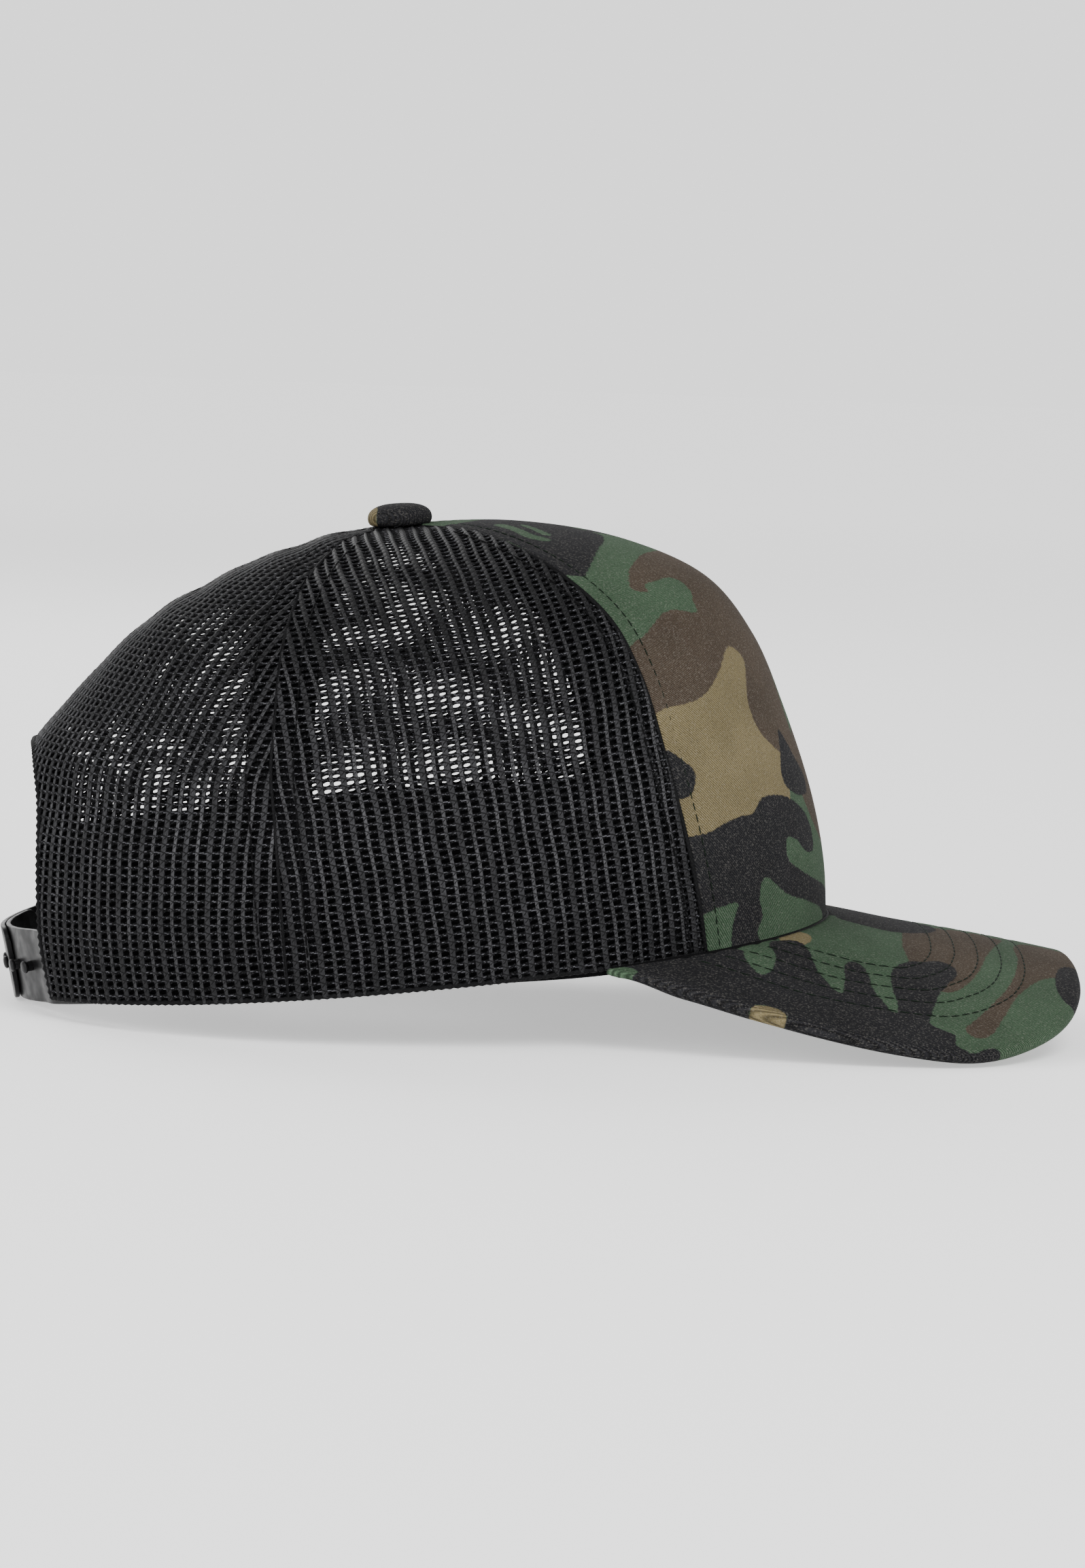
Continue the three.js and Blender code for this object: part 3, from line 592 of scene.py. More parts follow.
def moulded(name, colour, roughness):
    """Moulded plastic with a faint uneven skin."""
    n = Nodes(name, roughness, specular=0.22)
    spot = n.place()
    rough = n.ramp(n.noise(spot, 260, 2), 0.3, 0.7, roughness - 0.07, roughness + 0.1)
    n.put(n.shader.inputs["Roughness"], rough)
    shade = n.ramp(n.noise(spot, 60, 2), 0.3, 0.7, 0.92, 1.08)
    return n.finish(n.scaled(colour, shade), n.noise(spot, 900, 3), 0.012)


def plated(name):
    n = Nodes(name, roughness=0.35, metallic=0.9)
    brushed = n.noise(n.place((1, 1, 8)), 900, 2)
    rough = n.ramp(n.noise(n.place(), 500, 2), 0.3, 0.7, 0.26, 0.46)
    n.put(n.shader.inputs["Roughness"], rough)
    return n.finish(n.scaled(BRIGHT_STEEL, n.ramp(brushed, 0.3, 0.7, 0.9, 1.1)), brushed, 0.01)


CAMO = camo_twill("camo_twill")
KNIT = knit_fabric("knit_mesh")
EDGE_KNIT = woven("knit_edge", srgb(17, 17, 18), pitch=1.1, contrast=0.3, roughness=0.6)
TAPE = woven("seam_tape", srgb(12, 12, 13), pitch=0.7)
SWEAT = woven("sweatband_cloth", srgb(13, 13, 14), pitch=0.6, stripes=1.0, contrast=0.3)
LINING = woven("buckram", srgb(20, 20, 21), pitch=1.0, contrast=0.2)
FOAM = woven("foam_cloth", srgb(24, 24, 25), pitch=0.5)
STRAP = moulded("strap_plastic", srgb(14, 14, 15), roughness=0.36)
BOARD = moulded("board_plastic", srgb(28, 28, 30), roughness=0.5)
STEEL = plated("plated_steel")
DARK_THREAD = woven("dark_thread", srgb(20, 30, 22), pitch=0.35, contrast=0.3, roughness=0.6)
BLACK_THREAD = woven("black_thread", srgb(10, 10, 11), pitch=0.35, contrast=0.3, roughness=0.6)

# ---------- Camouflage print ----------

# Front panel patches: millimetres round the panel from its centre to the wearer's right, and up from
# the hem. Green is the ground colour; the others are printed over it in this order.
FRONT_PRINT = {
    "brown": [
        [(39, 101), (42, 98.5), (44, 101), (40.5, 104), (33, 108), (20, 111), (9, 110), (-6, 107),
         (-20, 98), (-25, 86), (-18, 77), (-4, 72), (7, 66), (11, 56), (15, 46), (20, 39), (36, 42),
         (46, 52), (52, 60), (72, 58), (78, 74), (66, 84), (57, 87), (50, 90), (43, 91), (36, 88),
         (33, 91), (29, 94), (27, 98), (29, 100.5), (35, 101)],
    ],
    "tan": [
        [(36, 76), (32, 76), (30, 72), (34, 67), (38, 61), (38, 54), (34, 49), (30, 45), (32, 38),
         (36, 32), (44, 33), (53, 31), (66, 29), (80, 29), (82, 40), (78, 60), (70, 66), (62, 66),
         (54, 67), (45, 71)],
    ],
    "charcoal": [
        [(6, 158), (-8, 150), (-6, 138), (2, 131), (8, 124), (23, 120), (32, 117), (40, 113.5), (47, 111),
         (48, 118), (38, 128), (28, 142), (22, 158)],
        [(26, 52), (23, 48), (20, 43), (16, 38), (19, 34), (28, 34.5), (34, 38), (34, 42), (30, 47)],
        [(80, 42), (76, 42), (71, 43), (68, 48), (70, 52), (74, 56), (80, 58)],
        [(80, 30), (70, 32), (60, 34), (53, 34), (48, 37), (42, 37), (35, 35), (28, 31), (24, 26), (25, 20),
         (31, 20), (36, 24), (41, 25), (42, 20), (38, 17), (29, 13), (16, 9), (2, 4), (-4, -4), (16, -3),
         (20, 3), (31, 7), (44, 11), (53, 17), (56, 12), (55, 7), (57, 3), (54, -3), (65, -3), (66, 6),
         (64, 12), (70, 12), (80, 12)],
    ],
}
# Parts of the charcoal where the ground colour shows.
FRONT_STREAKS = [
    [(11, 148), (16, 142), (22, 136), (25, 130.5), (27.5, 131), (25.5, 136), (19, 142.5), (14, 148.5)],
    [(9.5, 143), (14, 138.5), (20, 133), (21, 134.2), (16, 139), (11, 143.5)],
]
# The visor's patches: millimetres forwards from the button's axis, and to the wearer's right.
VISOR_PRINT = {
    "brown": [
        [(120, 8), (126, 1), (136, -6), (146, -2), (143, 12), (139, 26), (136, 38), (132, 49), (127, 57),
         (122, 58), (118, 52), (117, 38), (117, 28)],
        [(158, -4), (151, 0), (148, 10), (147, 26), (143, 44), (137, 58), (130.5, 70), (128, 74), (130, 77),
         (134.5, 74), (139, 64), (144, 51), (151, 38), (158, 30), (163, 20), (167, 4)],
    ],
    "tan": [
        [(84, 44), (88, 38), (92, 39), (92, 44), (89, 48), (85, 48)],
        [(74, 88), (74, 84), (78, 82.5), (82, 84), (82.5, 88), (80, 92), (75, 91)],
    ],
    "charcoal": [
        [(38, 76), (52, 69), (64, 62), (73, 57), (74, 62), (76, 67), (78, 68.5), (80.5, 65), (82, 58),
         (81, 51), (84, 47), (89, 46), (91, 50), (92, 58), (94, 64), (97.5, 69.5), (99, 62), (100, 53),
         (103, 50), (105.5, 55), (106, 64), (110, 74), (111.5, 70), (111, 60), (112, 51), (116, 44),
         (123, 39.5), (128, 39.5), (129, 46), (126, 53), (123, 60), (121, 67), (119, 75), (122, 77),
         (125, 78), (125, 82), (129, 83), (135, 79), (141, 84), (120, 96), (60, 96), (38, 88)],
        [(158, 24), (163, 20), (170, 28), (168, 46), (158, 50), (155, 40)],
        [(98, 10), (96, -6), (108, -18), (122, -14), (118, -2), (108, 6)],
    ],
}
VISOR_OPEN = [
    [(74, 88), (74, 84), (78, 82.5), (82, 84), (82.5, 88), (80, 92), (75, 91)],
    [(38, 78), (40, 73), (45, 73.5), (46.5, 75.5), (44, 77), (41, 79)],
]
PANEL_MIDDLE = 62
VISOR_MIDDLE = 112


def smooth_outline(points, steps=8):
    """A closed smooth curve through a patch's points."""
    p = np.array(points, float)
    a, b, c, d = (np.roll(p, k, axis=0) for k in (1, 0, -1, -2))
    t = np.linspace(0, 1, steps, endpoint=False)[:, None, None]
    curve = 0.5 * (2 * b + (c - a) * t + (2 * a - 5 * b + 4 * c - d) * t**2
                   + (3 * b - a - 3 * c + d) * t**3)
    return curve.transpose(1, 0, 2).reshape(-1, 2)


def signed_distance(points, outline):
    """Distance from points to a closed outline, negative inside."""
    p = np.asarray(points, float)
    best = np.full(len(p), 1e9)
    inside = np.zeros(len(p), bool)
    for a, b in zip(outline, np.roll(outline, -1, axis=0)):
        ab = b - a
        share = np.clip(((p - a) @ ab) / max(ab @ ab, 1e-9), 0, 1)
        best = np.minimum(best, np.linalg.norm(p - a - share[:, None] * ab, axis=1))
        crosses = (a[1] > p[:, 1]) != (b[1] > p[:, 1])
        x = a[0] + (p[:, 1] - a[1]) * ab[0] / (ab[1] if abs(ab[1]) > 1e-9 else 1e-9)
        inside ^= crosses & (p[:, 0] < x)
    return np.where(inside, -best, best)


def turned_half(outline, middle, upright):
    """The same patch turned half round about the middle of the cloth, for the side not seen."""
    p = np.array(outline, float)
    if upright:
        return np.stack([-p[:, 0], 2 * middle - p[:, 1]], axis=1)
    return np.stack([2 * middle - p[:, 0], -p[:, 1]], axis=1)


def print_values(points, patches, openings, middle, upright):
    """The signed distance of each print colour at points of the cloth."""
    values = {}
    for ink, outlines in patches.items():
        every = [np.array(o, float) for o in outlines]
        every += [turned_half(o, middle, upright) for o in outlines]
        values[ink] = np.min([signed_distance(points, smooth_outline(o)) for o in every], axis=0)
    left_open = [signed_distance(points, smooth_outline(o)) for o in openings]
    values["charcoal"] = np.maximum(values["charcoal"], -np.min(left_open, axis=0))
    return values


# ---------- Crown: twill front and plain layers ----------


EDGE_ROWS = (0.25, 0.6, 1.0, 1.5, 2.2)
SEAM_GAP = 0.4
PANEL_THICKNESS = 0.9
FRONT_STITCH_INSET = 4.2
CURVE_UP = front_line[1][-1]


def edge_shares(width, count):
    """Shares of a width from 0 to 1, with extra ones close to both edges."""
    close = np.array((0, *EDGE_ROWS)) / width
    return np.concatenate([close, np.linspace(close[-1], 1 - close[-1], count)[1:-1], 1 - close[::-1]])


def crown_sheet(low, high, t_range, rows, columns, depths, shape=None, roll=0.5, drop=None):
    """A closed sheet on the crown between two edges, with its outer edges rolled in."""
    rise = t_range[1] - t_range[0]
    t = t_range[0] + rise * edge_shares(rise * CROWN_LENGTH, rows)
    share = edge_shares(float(np.mean(high(t) - low(t))), columns)
    t_grid = np.repeat(t[:, None], len(share), axis=1)
    left, right = low(t)[:, None], high(t)[:, None]
    s = left + (right - left) * share
    q = np.clip(1 - np.minimum(s - left, right - s) / roll, 0, 1)
    rolled = 0.8 * (depths[1] - depths[0]) * (1 - np.sqrt(1 - q * q))
    extra = shape(t_grid, s) if shape else 0.0
    if drop:
        t_grid = t_grid - (t_range[1] - t_grid) / rise * drop(np.abs(s) - front_seam(t_grid))
    angle = angle_at(t_grid, s)
    points = two_grids(crown_inside(t_grid, angle, depths[0] + rolled + extra),
                       crown_inside(t_grid, angle, depths[1] + extra))
    return points, sheet_faces(*t_grid.shape), np.tile(t_grid.ravel(), 2), np.tile(s.ravel(), 2)


def plain_sheet(name, edges, t_range, rows, columns, depths, material, replaced, slot, **options):
    points, faces, _, _ = crown_sheet(*edges, t_range, rows, columns, depths, **options)
    return new_piece(name, points, faces, material, [replaced], slot)


def both_sides(edge):
    """The edges of a sheet that crosses the centre front."""
    return (lambda t: -edge(t), edge)


def one_side(side, low, high):
    """The edges of a sheet on one side, given as on the left."""
    return (low, high) if side == LEFT else (lambda t: -high(t), lambda t: -low(t))


def front_shape(t, s):
    """The front panel's stitched groove beside its seams, and the cloth's slight unevenness."""
    beside = front_seam(t) - np.abs(s) - FRONT_STITCH_INSET
    groove = 0.22 * np.exp(-(beside / 0.7) ** 2)
    ripple = 0.05 * np.sin(t * CROWN_LENGTH * 1.9 + 0.7 * s) * np.exp(-(beside / 3.0) ** 2)
    return groove + ripple + 0.12 * np.sin(s * 0.09 + 1.2) * np.sin(t * 14)


def build_front():
    edges = both_sides(lambda t: front_seam(t) - SEAM_GAP / 2)
    points, faces, t, s = crown_sheet(*edges, (0, CROWN_TOP), 190, 190, (0, PANEL_THICKNESS),
                                      shape=front_shape, roll=1.0)
    right, up = -s, t * CURVE_UP
    values = print_values(np.stack([right, up], axis=1), FRONT_PRINT, FRONT_STREAKS, PANEL_MIDDLE, True)
    values["twill"] = (0.839 * right - 0.545 * up) / TWILL_PITCH
    new_piece("front_panel_twill", points, faces, CAMO, ["front_panel"], "camo_twill", **values)
    plain_sheet("front_backing_buckram", both_sides(lambda t: front_seam(t) - 1), (0, CROWN_TOP), 50, 50,
                (1.2, 2.6), LINING, "front_backing", "lining")
    padding = plain_sheet("forehead_padding_foam", both_sides(lambda t: front_seam(t) - 3), (0.01, 0.182),
                          16, 50, (3.1, 4.6), FOAM, "forehead_padding", "foam", roll=1.4)


def build_inside():
    """Sweatband, tapes and bindings."""
    rear = lambda t: round_at(t, rear_angle(t, arch_half_width(t) + 2))
    plain_sheet("sweatband_cloth", both_sides(rear), (-0.004, SWEATBAND_TOP), 24, 200, (5.9, 6.8), SWEAT,
                "sweatband", "sweat_cloth", roll=0.4)
    build_rear_tape()
    share = lambda t: 0.4 * (side_seam(t) - front_seam(t))
    bands = {
        "front_seam_tape": (lambda t: front_seam(t) - 0.8,
                            lambda t: front_seam(t) + 0.4 + np.minimum(15, share(t))),
        "side_seam_tape": (lambda t: side_seam(t) - np.minimum(10, share(t)),
                           lambda t: side_seam(t) + np.minimum(6.5, 0.6 * share(t))),
    }
    hem = (lambda t: front_seam(t) + 2, lambda t: round_at(t, rear_angle(t, 47.5)))
    for hand, side in SIDES.items():
        for band, edges in bands.items():
            plain_sheet(f"{band}_{hand}_cloth", one_side(side, *edges), (0, 0.955), 60, 8, (1.4, 2.0), TAPE,
                        f"{band}_{hand}", "tape_cloth", roll=0.3)
        plain_sheet(f"hem_binding_{hand}_cloth", one_side(side, *hem), (0.0, 0.045), 5, 120, (2.3, 2.9),
                    TAPE, f"hem_binding_{hand}", "tape_cloth", roll=0.3,
                    drop=lambda behind_seam: 0.01 * smoothstep(70, 25, behind_seam))


def build_rear_tape():
    """The tape over the centre back seam, above the arch."""
    t = np.linspace(ARCH_TOP + 0.052, 0.955, 50)[:, None]
    share = np.linspace(-1, 1, 9)[None, :]
    half_width = np.minimum(6.0, 0.8 * (centre_back(t) - side_seam(t)))
    away = np.abs(share) * half_width
    t = t + 0 * share
    angle = angle_at(t, centre_back(t) - away)
    angle = np.where(share < 0, angle, 2 * math.pi - angle)
    points = two_grids(*(crown_inside(t, angle, depth) for depth in (1.4, 2.0)))
    new_piece("rear_seam_tape_cloth", points, sheet_faces(*t.shape), TAPE, ["rear_seam_tape"], "tape_cloth")


def arch_line(width, count, depth):
    """Points along the arch's edge, a given width outside it, and their directions out of the crown."""
    a = np.linspace(-math.pi / 2, math.pi / 2, count)
    power = 2 / ARCH_POWER
    t = np.maximum((ARCH_TOP + width / REAR_LINE_LENGTH) * np.cos(a) ** power, 0)
    y = (ARCH_HALF_WIDTH + width) * np.abs(np.sin(a)) ** power
    angle = rear_angle(t, y)
    angle = np.where(a < 0, -angle, angle)
    return crown_inside(t, angle, depth), crown_normal(t, angle)


def build_arch_binding():
    widths, count = (0.3, 0.7, 2, 4, 6, 7.6, 8.0), 161
    points = two_grids(*(np.stack([arch_line(w, count, depth)[0] for w in widths]) for depth in (2.0, 2.7)))
    outward(new_piece("rear_opening_binding_cloth", points, sheet_faces(len(widths), count), EDGE_KNIT,
                      ["rear_opening_binding"], "mesh_fabric"))


# ---------- Crown: knitted mesh ----------

# One period of the knit: offsets across from a rib's middle, the height at which the cross threads
# pass there, half the height of the threads, and how far the yarn stands proud.
BROAD_RIB = np.array([-0.76, 0.0, 0.76, 1.42, 2.08])
NARROW_RIB = np.array([-0.5, 0.0, 0.5, 1.14, 1.8])
THREAD_AT = np.array([-0.16, 0.0, 0.16, 0.05, -0.05])
THREAD_HALF = np.array([0.67, 0.54, 0.67, 0.48, 0.48])
PROUD_EDGE = np.array([0.0, 0.32, 0.0, -0.16, -0.16])
PROUD_MIDDLE = np.array([0.06, 0.4, 0.06, 0.02, 0.02])
RIB_CELLS = np.array([True, True, False, False, False])
YARN_THICKNESS = 0.42


def knit(name, side, low, high, t_range, depth, replaced=(), arch=False, shift=(0.0, 0.0), strip=None):
    """Open knit on one panel, as a closed mesh with a real hole between every two ribs and rows.
    A strip is only the knit within that width of the rear opening: the turned-in hem."""
    middle = lambda t: (low(t) + high(t)) / 2
    probe = np.linspace(*t_range, 60)
    first = int(np.floor(np.min(low(probe) - middle(probe)) / WALE)) - 1
    last = int(np.ceil(np.max(high(probe) - middle(probe)) / WALE)) + 1
    wales = np.arange(first, last + 1)
    courses = int((t_range[1] - t_range[0]) * CROWN_LENGTH / COURSE) + 1
    within = np.where(wales[:, None] % 2 == 0, BROAD_RIB, NARROW_RIB)
    across = (wales[:, None] * WALE + within).ravel() + shift[0]
    wale_number = (wales[:, None] + within / WALE).ravel()
    thread_at, thread_half = np.tile(THREAD_AT, len(wales)), np.tile(THREAD_HALF, len(wales))
    height, proud = [], []
    for k in range(courses + 1):
        uneven = 0.09 * np.sin(1.7 * k + 0.31 * across) + 0.05 * np.sin(0.6 * k - 0.83 * across)
        middle_height = k * COURSE + thread_at + uneven + shift[1]
        for half, lift in ((-1, PROUD_EDGE), (0, PROUD_MIDDLE), (1, PROUD_EDGE)):
            height.append(middle_height + half * thread_half)
            proud.append(np.tile(lift, len(wales)))
    height, proud = np.array(height), np.array(proud)
    t = np.clip(t_range[0] + height / CROWN_LENGTH, *t_range)
    waver = 0.16 * np.sin(0.11 * height + 0.9 * np.round(wale_number)) + 0.1 * np.sin(0.37 * height)
    s = middle(t) + across + waver
    side_low, side_high = low(t), high(t)
    off = (s < side_low).astype(int) + 2 * (s > side_high)
    s = np.clip(s, side_low, side_high)
    angle = angle_at(t, s)
    if arch:
        t, angle, inside = outside_arch(t, angle)
        off = off + 4 * inside
    if strip:
        off = off + 32 * (arch_reach(t, angle, strip) > 1)
    ended = 8 * (t <= t_range[0] + 1e-9) + 16 * (t >= t_range[1] - 1e-9)
    corners = lambda a: np.stack([a[:-1, :-1], a[:-1, 1:], a[1:, 1:], a[1:, :-1]])
    gone = (corners(off) > 0).all(axis=0) | (corners(ended) > 0).all(axis=0)
    hole_rows = np.arange(height.shape[0] - 1) % 3 == 2
    rib_cells = np.tile(RIB_CELLS, len(wales))[:height.shape[1] - 1]
    present = ~(hole_rows[:, None] & ~rib_cells[None, :]) & ~gone
    wave = 0.35 * np.sin(0.13 * s + 1.1) * np.sin(9 * t + 0.05 * s)
    outer = crown_inside(t, side * angle, depth - proud + wave)
    inner = crown_inside(t, side * angle, depth + YARN_THICKNESS + wave)
    points = two_grids(outer, inner)
    faces = grid_faces(present, flipped=side == RIGHT)
    values = {"wale": np.tile(np.broadcast_to(wale_number, t.shape).ravel(), 2),
              "course": np.tile((height / COURSE).ravel(), 2)}
    points, faces, values = used_only(points, faces, values)
    new_piece(name, points, faces, KNIT, replaced, "mesh_fabric", **values)


def arch_reach(t, angle, width=0.0):
    """Under 1 within the rear opening grown by a width, and over 1 outside it."""
    y = np.abs(crown_point(t, angle)[..., 1])
    top, half = ARCH_TOP + width / REAR_LINE_LENGTH, ARCH_HALF_WIDTH + width
    reach = (np.maximum(t, 0) / top) ** ARCH_POWER + (y / half) ** ARCH_POWER
    return np.where(np.cos(angle) < 0, np.maximum(reach, 1e-6) ** (1 / ARCH_POWER), 9.0)


def outside_arch(t, angle):
    """Moves points that fall in the rear opening out to its edge."""
    y = np.abs(crown_point(t, angle)[..., 1])
    reach = arch_reach(t, angle)
    inside = reach < 1
    t_out = np.where(inside, t / reach, t)
    angle_out = np.where(inside, rear_angle(t_out, np.where(inside, y / reach, 1.0)), angle)
    return t_out, angle_out, inside


def hem_path(side, depth, count=160):
    t = np.full(count, 0.003)
    low, high = front_seam(t), round_at(t, rear_angle(t, ARCH_HALF_WIDTH))
    s = low + (high - low) * np.linspace(0, 1, count)
    return crown_inside(t, side * angle_at(t, s), depth)


def build_mesh_panels():
    front = lambda t: front_seam(t) + SEAM_GAP / 2
    ahead = lambda t: side_seam(t) - SEAM_GAP / 2
    behind = lambda t: side_seam(t) + SEAM_GAP / 2
    back = lambda t: centre_back(t) - SEAM_GAP / 2
    fold = lambda t: np.minimum(front_seam(t) + 5.2, side_seam(t) - 1)
    for hand, side in SIDES.items():
        for seam, s_of, depth, radius in (("front", front_seam, 0.85, 0.62),
                                          ("side", side_seam, 0.7, 0.45)):
            path, _ = crown_row(side, s_of, (0.002, 0.972), depth)
            bead(f"{seam}_seam_turning_{hand}", path, radius, EDGE_KNIT)
        knit(f"side_mesh_{hand}_knit", side, front, ahead, (0, CROWN_TOP), 0.45, [f"side_mesh_{hand}"])
        knit(f"rear_mesh_{hand}_knit", side, behind, back, (0, CROWN_TOP), 0.45, [f"rear_mesh_{hand}"],
             arch=True)
        knit(f"opening_fold_{hand}_knit", side, behind, back, (0, 0.44), 1.2, arch=True, shift=(1.4, 1.0),
             strip=8)
        knit(f"front_fold_{hand}_knit", side, front, fold, (0, 0.94), 1.12, shift=(1.5, 0.9))
        bead(f"hem_edge_{hand}", hem_path(side, 0.7), 0.62, EDGE_KNIT, bump=0.22)
    path, _ = arch_line(0.0, 300, 0.8)
    bead("rear_opening_edge", path, 0.85, EDGE_KNIT, bump=0.25)


# ---------- Seam stitching on the crown ----------


def crown_row(side, s_of, t_range, depth, count=200):
    """A line up the crown at a distance round it, and the directions out of the crown along it."""
    t = np.linspace(*t_range, count)
    angle = side * angle_at(t, s_of(t))
    return crown_inside(t, angle, depth), crown_normal(t, angle)


def build_crown_stitching():
    beside = lambda t: front_seam(t) - FRONT_STITCH_INSET
    share = lambda t: 0.2 * (side_seam(t) - front_seam(t))
    folded = lambda t: front_seam(t) + 5.0
    ahead = lambda t: side_seam(t) - np.minimum(5.8, share(t))
    behind = lambda t: side_seam(t) + np.minimum(6.2, share(t))
    front_rows, mesh_rows = [], []
    for side in SIDES.values():
        front_rows.append(crown_row(side, beside, (0.004, 0.9), 0.2))
        mesh_rows += [crown_row(side, row, (0.004, 0.86), 0.1) for row in (folded, ahead, behind)]
    stitches("front_seam_stitches", front_rows, DARK_THREAD, length=2.2, gap=0.7, radius=0.17)
    stitches("mesh_seam_stitches", mesh_rows, BLACK_THREAD, length=2.6, gap=0.5, radius=0.26)


# ---------- Visor ----------

visor_outline = curve_through(VISOR_OUTLINE)


def visor_edge(s):
    """The plan outline from the right end, s of -1, round the front to the left end, s of 1."""
    p = along(visor_outline, 1 - np.abs(s))
    return np.stack([p[..., 0], np.sign(s) * p[..., 1]], axis=-1)


def visor_root(s):
    angle = s * VISOR_END_ANGLE
    return crown_point(0, angle)[..., :2] + unit(crown_normal(0, angle)[..., :2]) * VISOR_ROOT_CLEARANCE


def visor_height(x, y):
    ahead = x - VISOR_ROOT_X
    crest = VISOR_ROOT_Z - 0.095 * ahead - 0.0008 * ahead**2
    radius = VISOR_CROSS_RADIUS + 0.8 * (128 - x) + 0.00008 * (128 - x) ** 3
    return crest - radius + np.sqrt(radius**2 - y**2)


def visor_point(s, distance, depth):
    """A point a distance in from the outline, along the ray to the root, and a depth below the top."""
    edge, root = visor_edge(s), visor_root(s)
    length = np.linalg.norm(edge - root, axis=-1)
    p = edge + (root - edge) * (distance / length)[..., None]
    x, y = p[..., 0], p[..., 1]
    d = 0.5
    normal = unit(np.stack([visor_height(x - d, y) - visor_height(x + d, y),
                            visor_height(x, y - d) - visor_height(x, y + d),
                            np.full(x.shape, 2 * d)], axis=-1))
    hem = crown_point(0, s * VISOR_END_ANGLE)[..., 2]
    lift = hem + VISOR_ROOT_RISE - visor_height(root[..., 0], root[..., 1])
    depth = depth * visor_thinning(s)
    point = np.stack([x, y, visor_height(x, y)], axis=-1) - normal * depth[..., None]
    point[..., 2] += lift * (1 - smoothstep(0, VISOR_ROOT_LIFT_REACH, length - distance))
    return point


def visor_thinning(s):
    """The layers are trimmed and pressed thinner where the visor's ends go under the hem."""
    return 0.45 + 0.55 * smoothstep(0.0, 0.09, 1 - np.abs(s))


def from_outline(x, y):
    """Plan distance from points in to the visor's outline."""
    outline = visor_edge(np.linspace(-1, 1, 161))
    p = np.stack([np.ravel(x), np.ravel(y)], axis=1)
    best = np.full(len(p), 1e9)
    for a, b in zip(outline, outline[1:]):
        ab = b - a
        share = np.clip(((p - a) @ ab) / (ab @ ab), 0, 1)
        best = np.minimum(best, np.linalg.norm(p - a - share[:, None] * ab, axis=1))
    return best.reshape(np.shape(x))


def stitch_grooves(x, y):
    """How deep the rows of stitching draw the cloth in."""
    inward = from_outline(x, y)
    return sum(0.28 * np.exp(-((inward - row) / 0.9) ** 2) for row in VISOR_STITCH_ROWS)


VISOR_RIM = VISOR_THICKNESS / 2
TOP_TURN = np.radians(np.linspace(0, 118, 12))
BOTTOM_TURN = np.radians(np.linspace(180, 124, 7))


def visor_cover(name, turn, replaced):
    """The top or the bottom cloth, rolled round half of the visor's rim by the angles of turn."""
    upper = turn[0] < 1
    stations = np.linspace(-1, 1, 241)
    stations = stations * (1.2 - 0.2 * np.abs(stations))
    length = np.linalg.norm(visor_edge(stations) - visor_root(stations), axis=1)
    flat = np.linspace(1, 0, 60)[:-1]
    turned = np.concatenate([np.full(len(flat), turn[0]), turn])
    level = VISOR_RIM + (length - VISOR_RIM) * flat[:, None]

    def face(radius):
        """Distances in from the outline and depths of a face of the cloth, which turns at a radius."""
        rolled = VISOR_RIM - radius * np.sin(turn)[:, None] + 0 * length
        depth = VISOR_RIM - radius * np.cos(turned)[:, None] + 0 * length
        return np.concatenate([level, rolled]), depth

    outer_distance, outer_depth = face(VISOR_RIM)
    inner_distance, inner_depth = face(VISOR_RIM - VISOR_CLOTH)
    s = np.broadcast_to(stations, outer_distance.shape)
    plan = visor_edge(s) + (visor_root(s) - visor_edge(s)) * (outer_distance / length)[..., None]
    groove = stitch_grooves(plan[..., 0], plan[..., 1]) * (1 if upper else -1)
    outer = visor_point(s, outer_distance, outer_depth + groove * smoothstep(0, 3, outer_distance))
    inner = visor_point(s, inner_distance, inner_depth)
    ends = float(visor_thinning(1.0))
    outer = with_rolled_ends(outer, VISOR_RIM * ends, turn, turned)
    inner = with_rolled_ends(inner, (VISOR_RIM - VISOR_CLOTH) * ends, turn, turned)
    plan = with_rolled_ends(np.dstack([plan, 0 * outer_distance]), 0, turn, turned)
    ahead, right = np.tile(plan[..., 0].ravel(), 2), np.tile(-plan[..., 1].ravel(), 2)
    values = print_values(np.stack([ahead, right], axis=1), VISOR_PRINT, VISOR_OPEN, VISOR_MIDDLE, False)
    arc = VISOR_CROSS_RADIUS * np.arcsin(right / VISOR_CROSS_RADIUS)
    values["twill"] = (arc - 0.1 * ahead) / TWILL_PITCH
    return outward(new_piece(name, two_grids(outer, inner), sheet_faces(*outer.shape[:2]), CAMO, [replaced],
                             "camo_twill", **values))


def with_rolled_ends(grid, radius, turn, turned):
    """Adds columns at both ends of a visor cover, that roll half way round the end of the visor.
    turned is how far each row has already gone round the rim."""
    upper = turn[0] < 1
    start = turned[0]
    added = []
    for end, next_in in ((0, 3), (-1, -4)):
        away = np.mean(grid[:20, end] - grid[:20, next_in], axis=0)
        away = away / max(np.linalg.norm(away), 1e-9)
        reach = np.clip(np.abs(np.cos(turned)), 0, 1)[:, None] * (np.abs(turned - start) < 1.6)[:, None]
        done = radius * np.abs(np.cos(turned) - math.cos(start))
        columns = []
        for w in turn[1:]:
            rolled = grid[:, end] + away * radius * math.sin(w) * reach
            further = np.maximum(radius * abs(math.cos(w) - math.cos(start)) - done, 0)
            rolled[:, 2] += -further if upper else further
            columns.append(rolled)
        added.append(np.stack(columns[::-1] if end == 0 else columns, axis=1))
    return np.concatenate([added[0], grid, added[1]], axis=1)


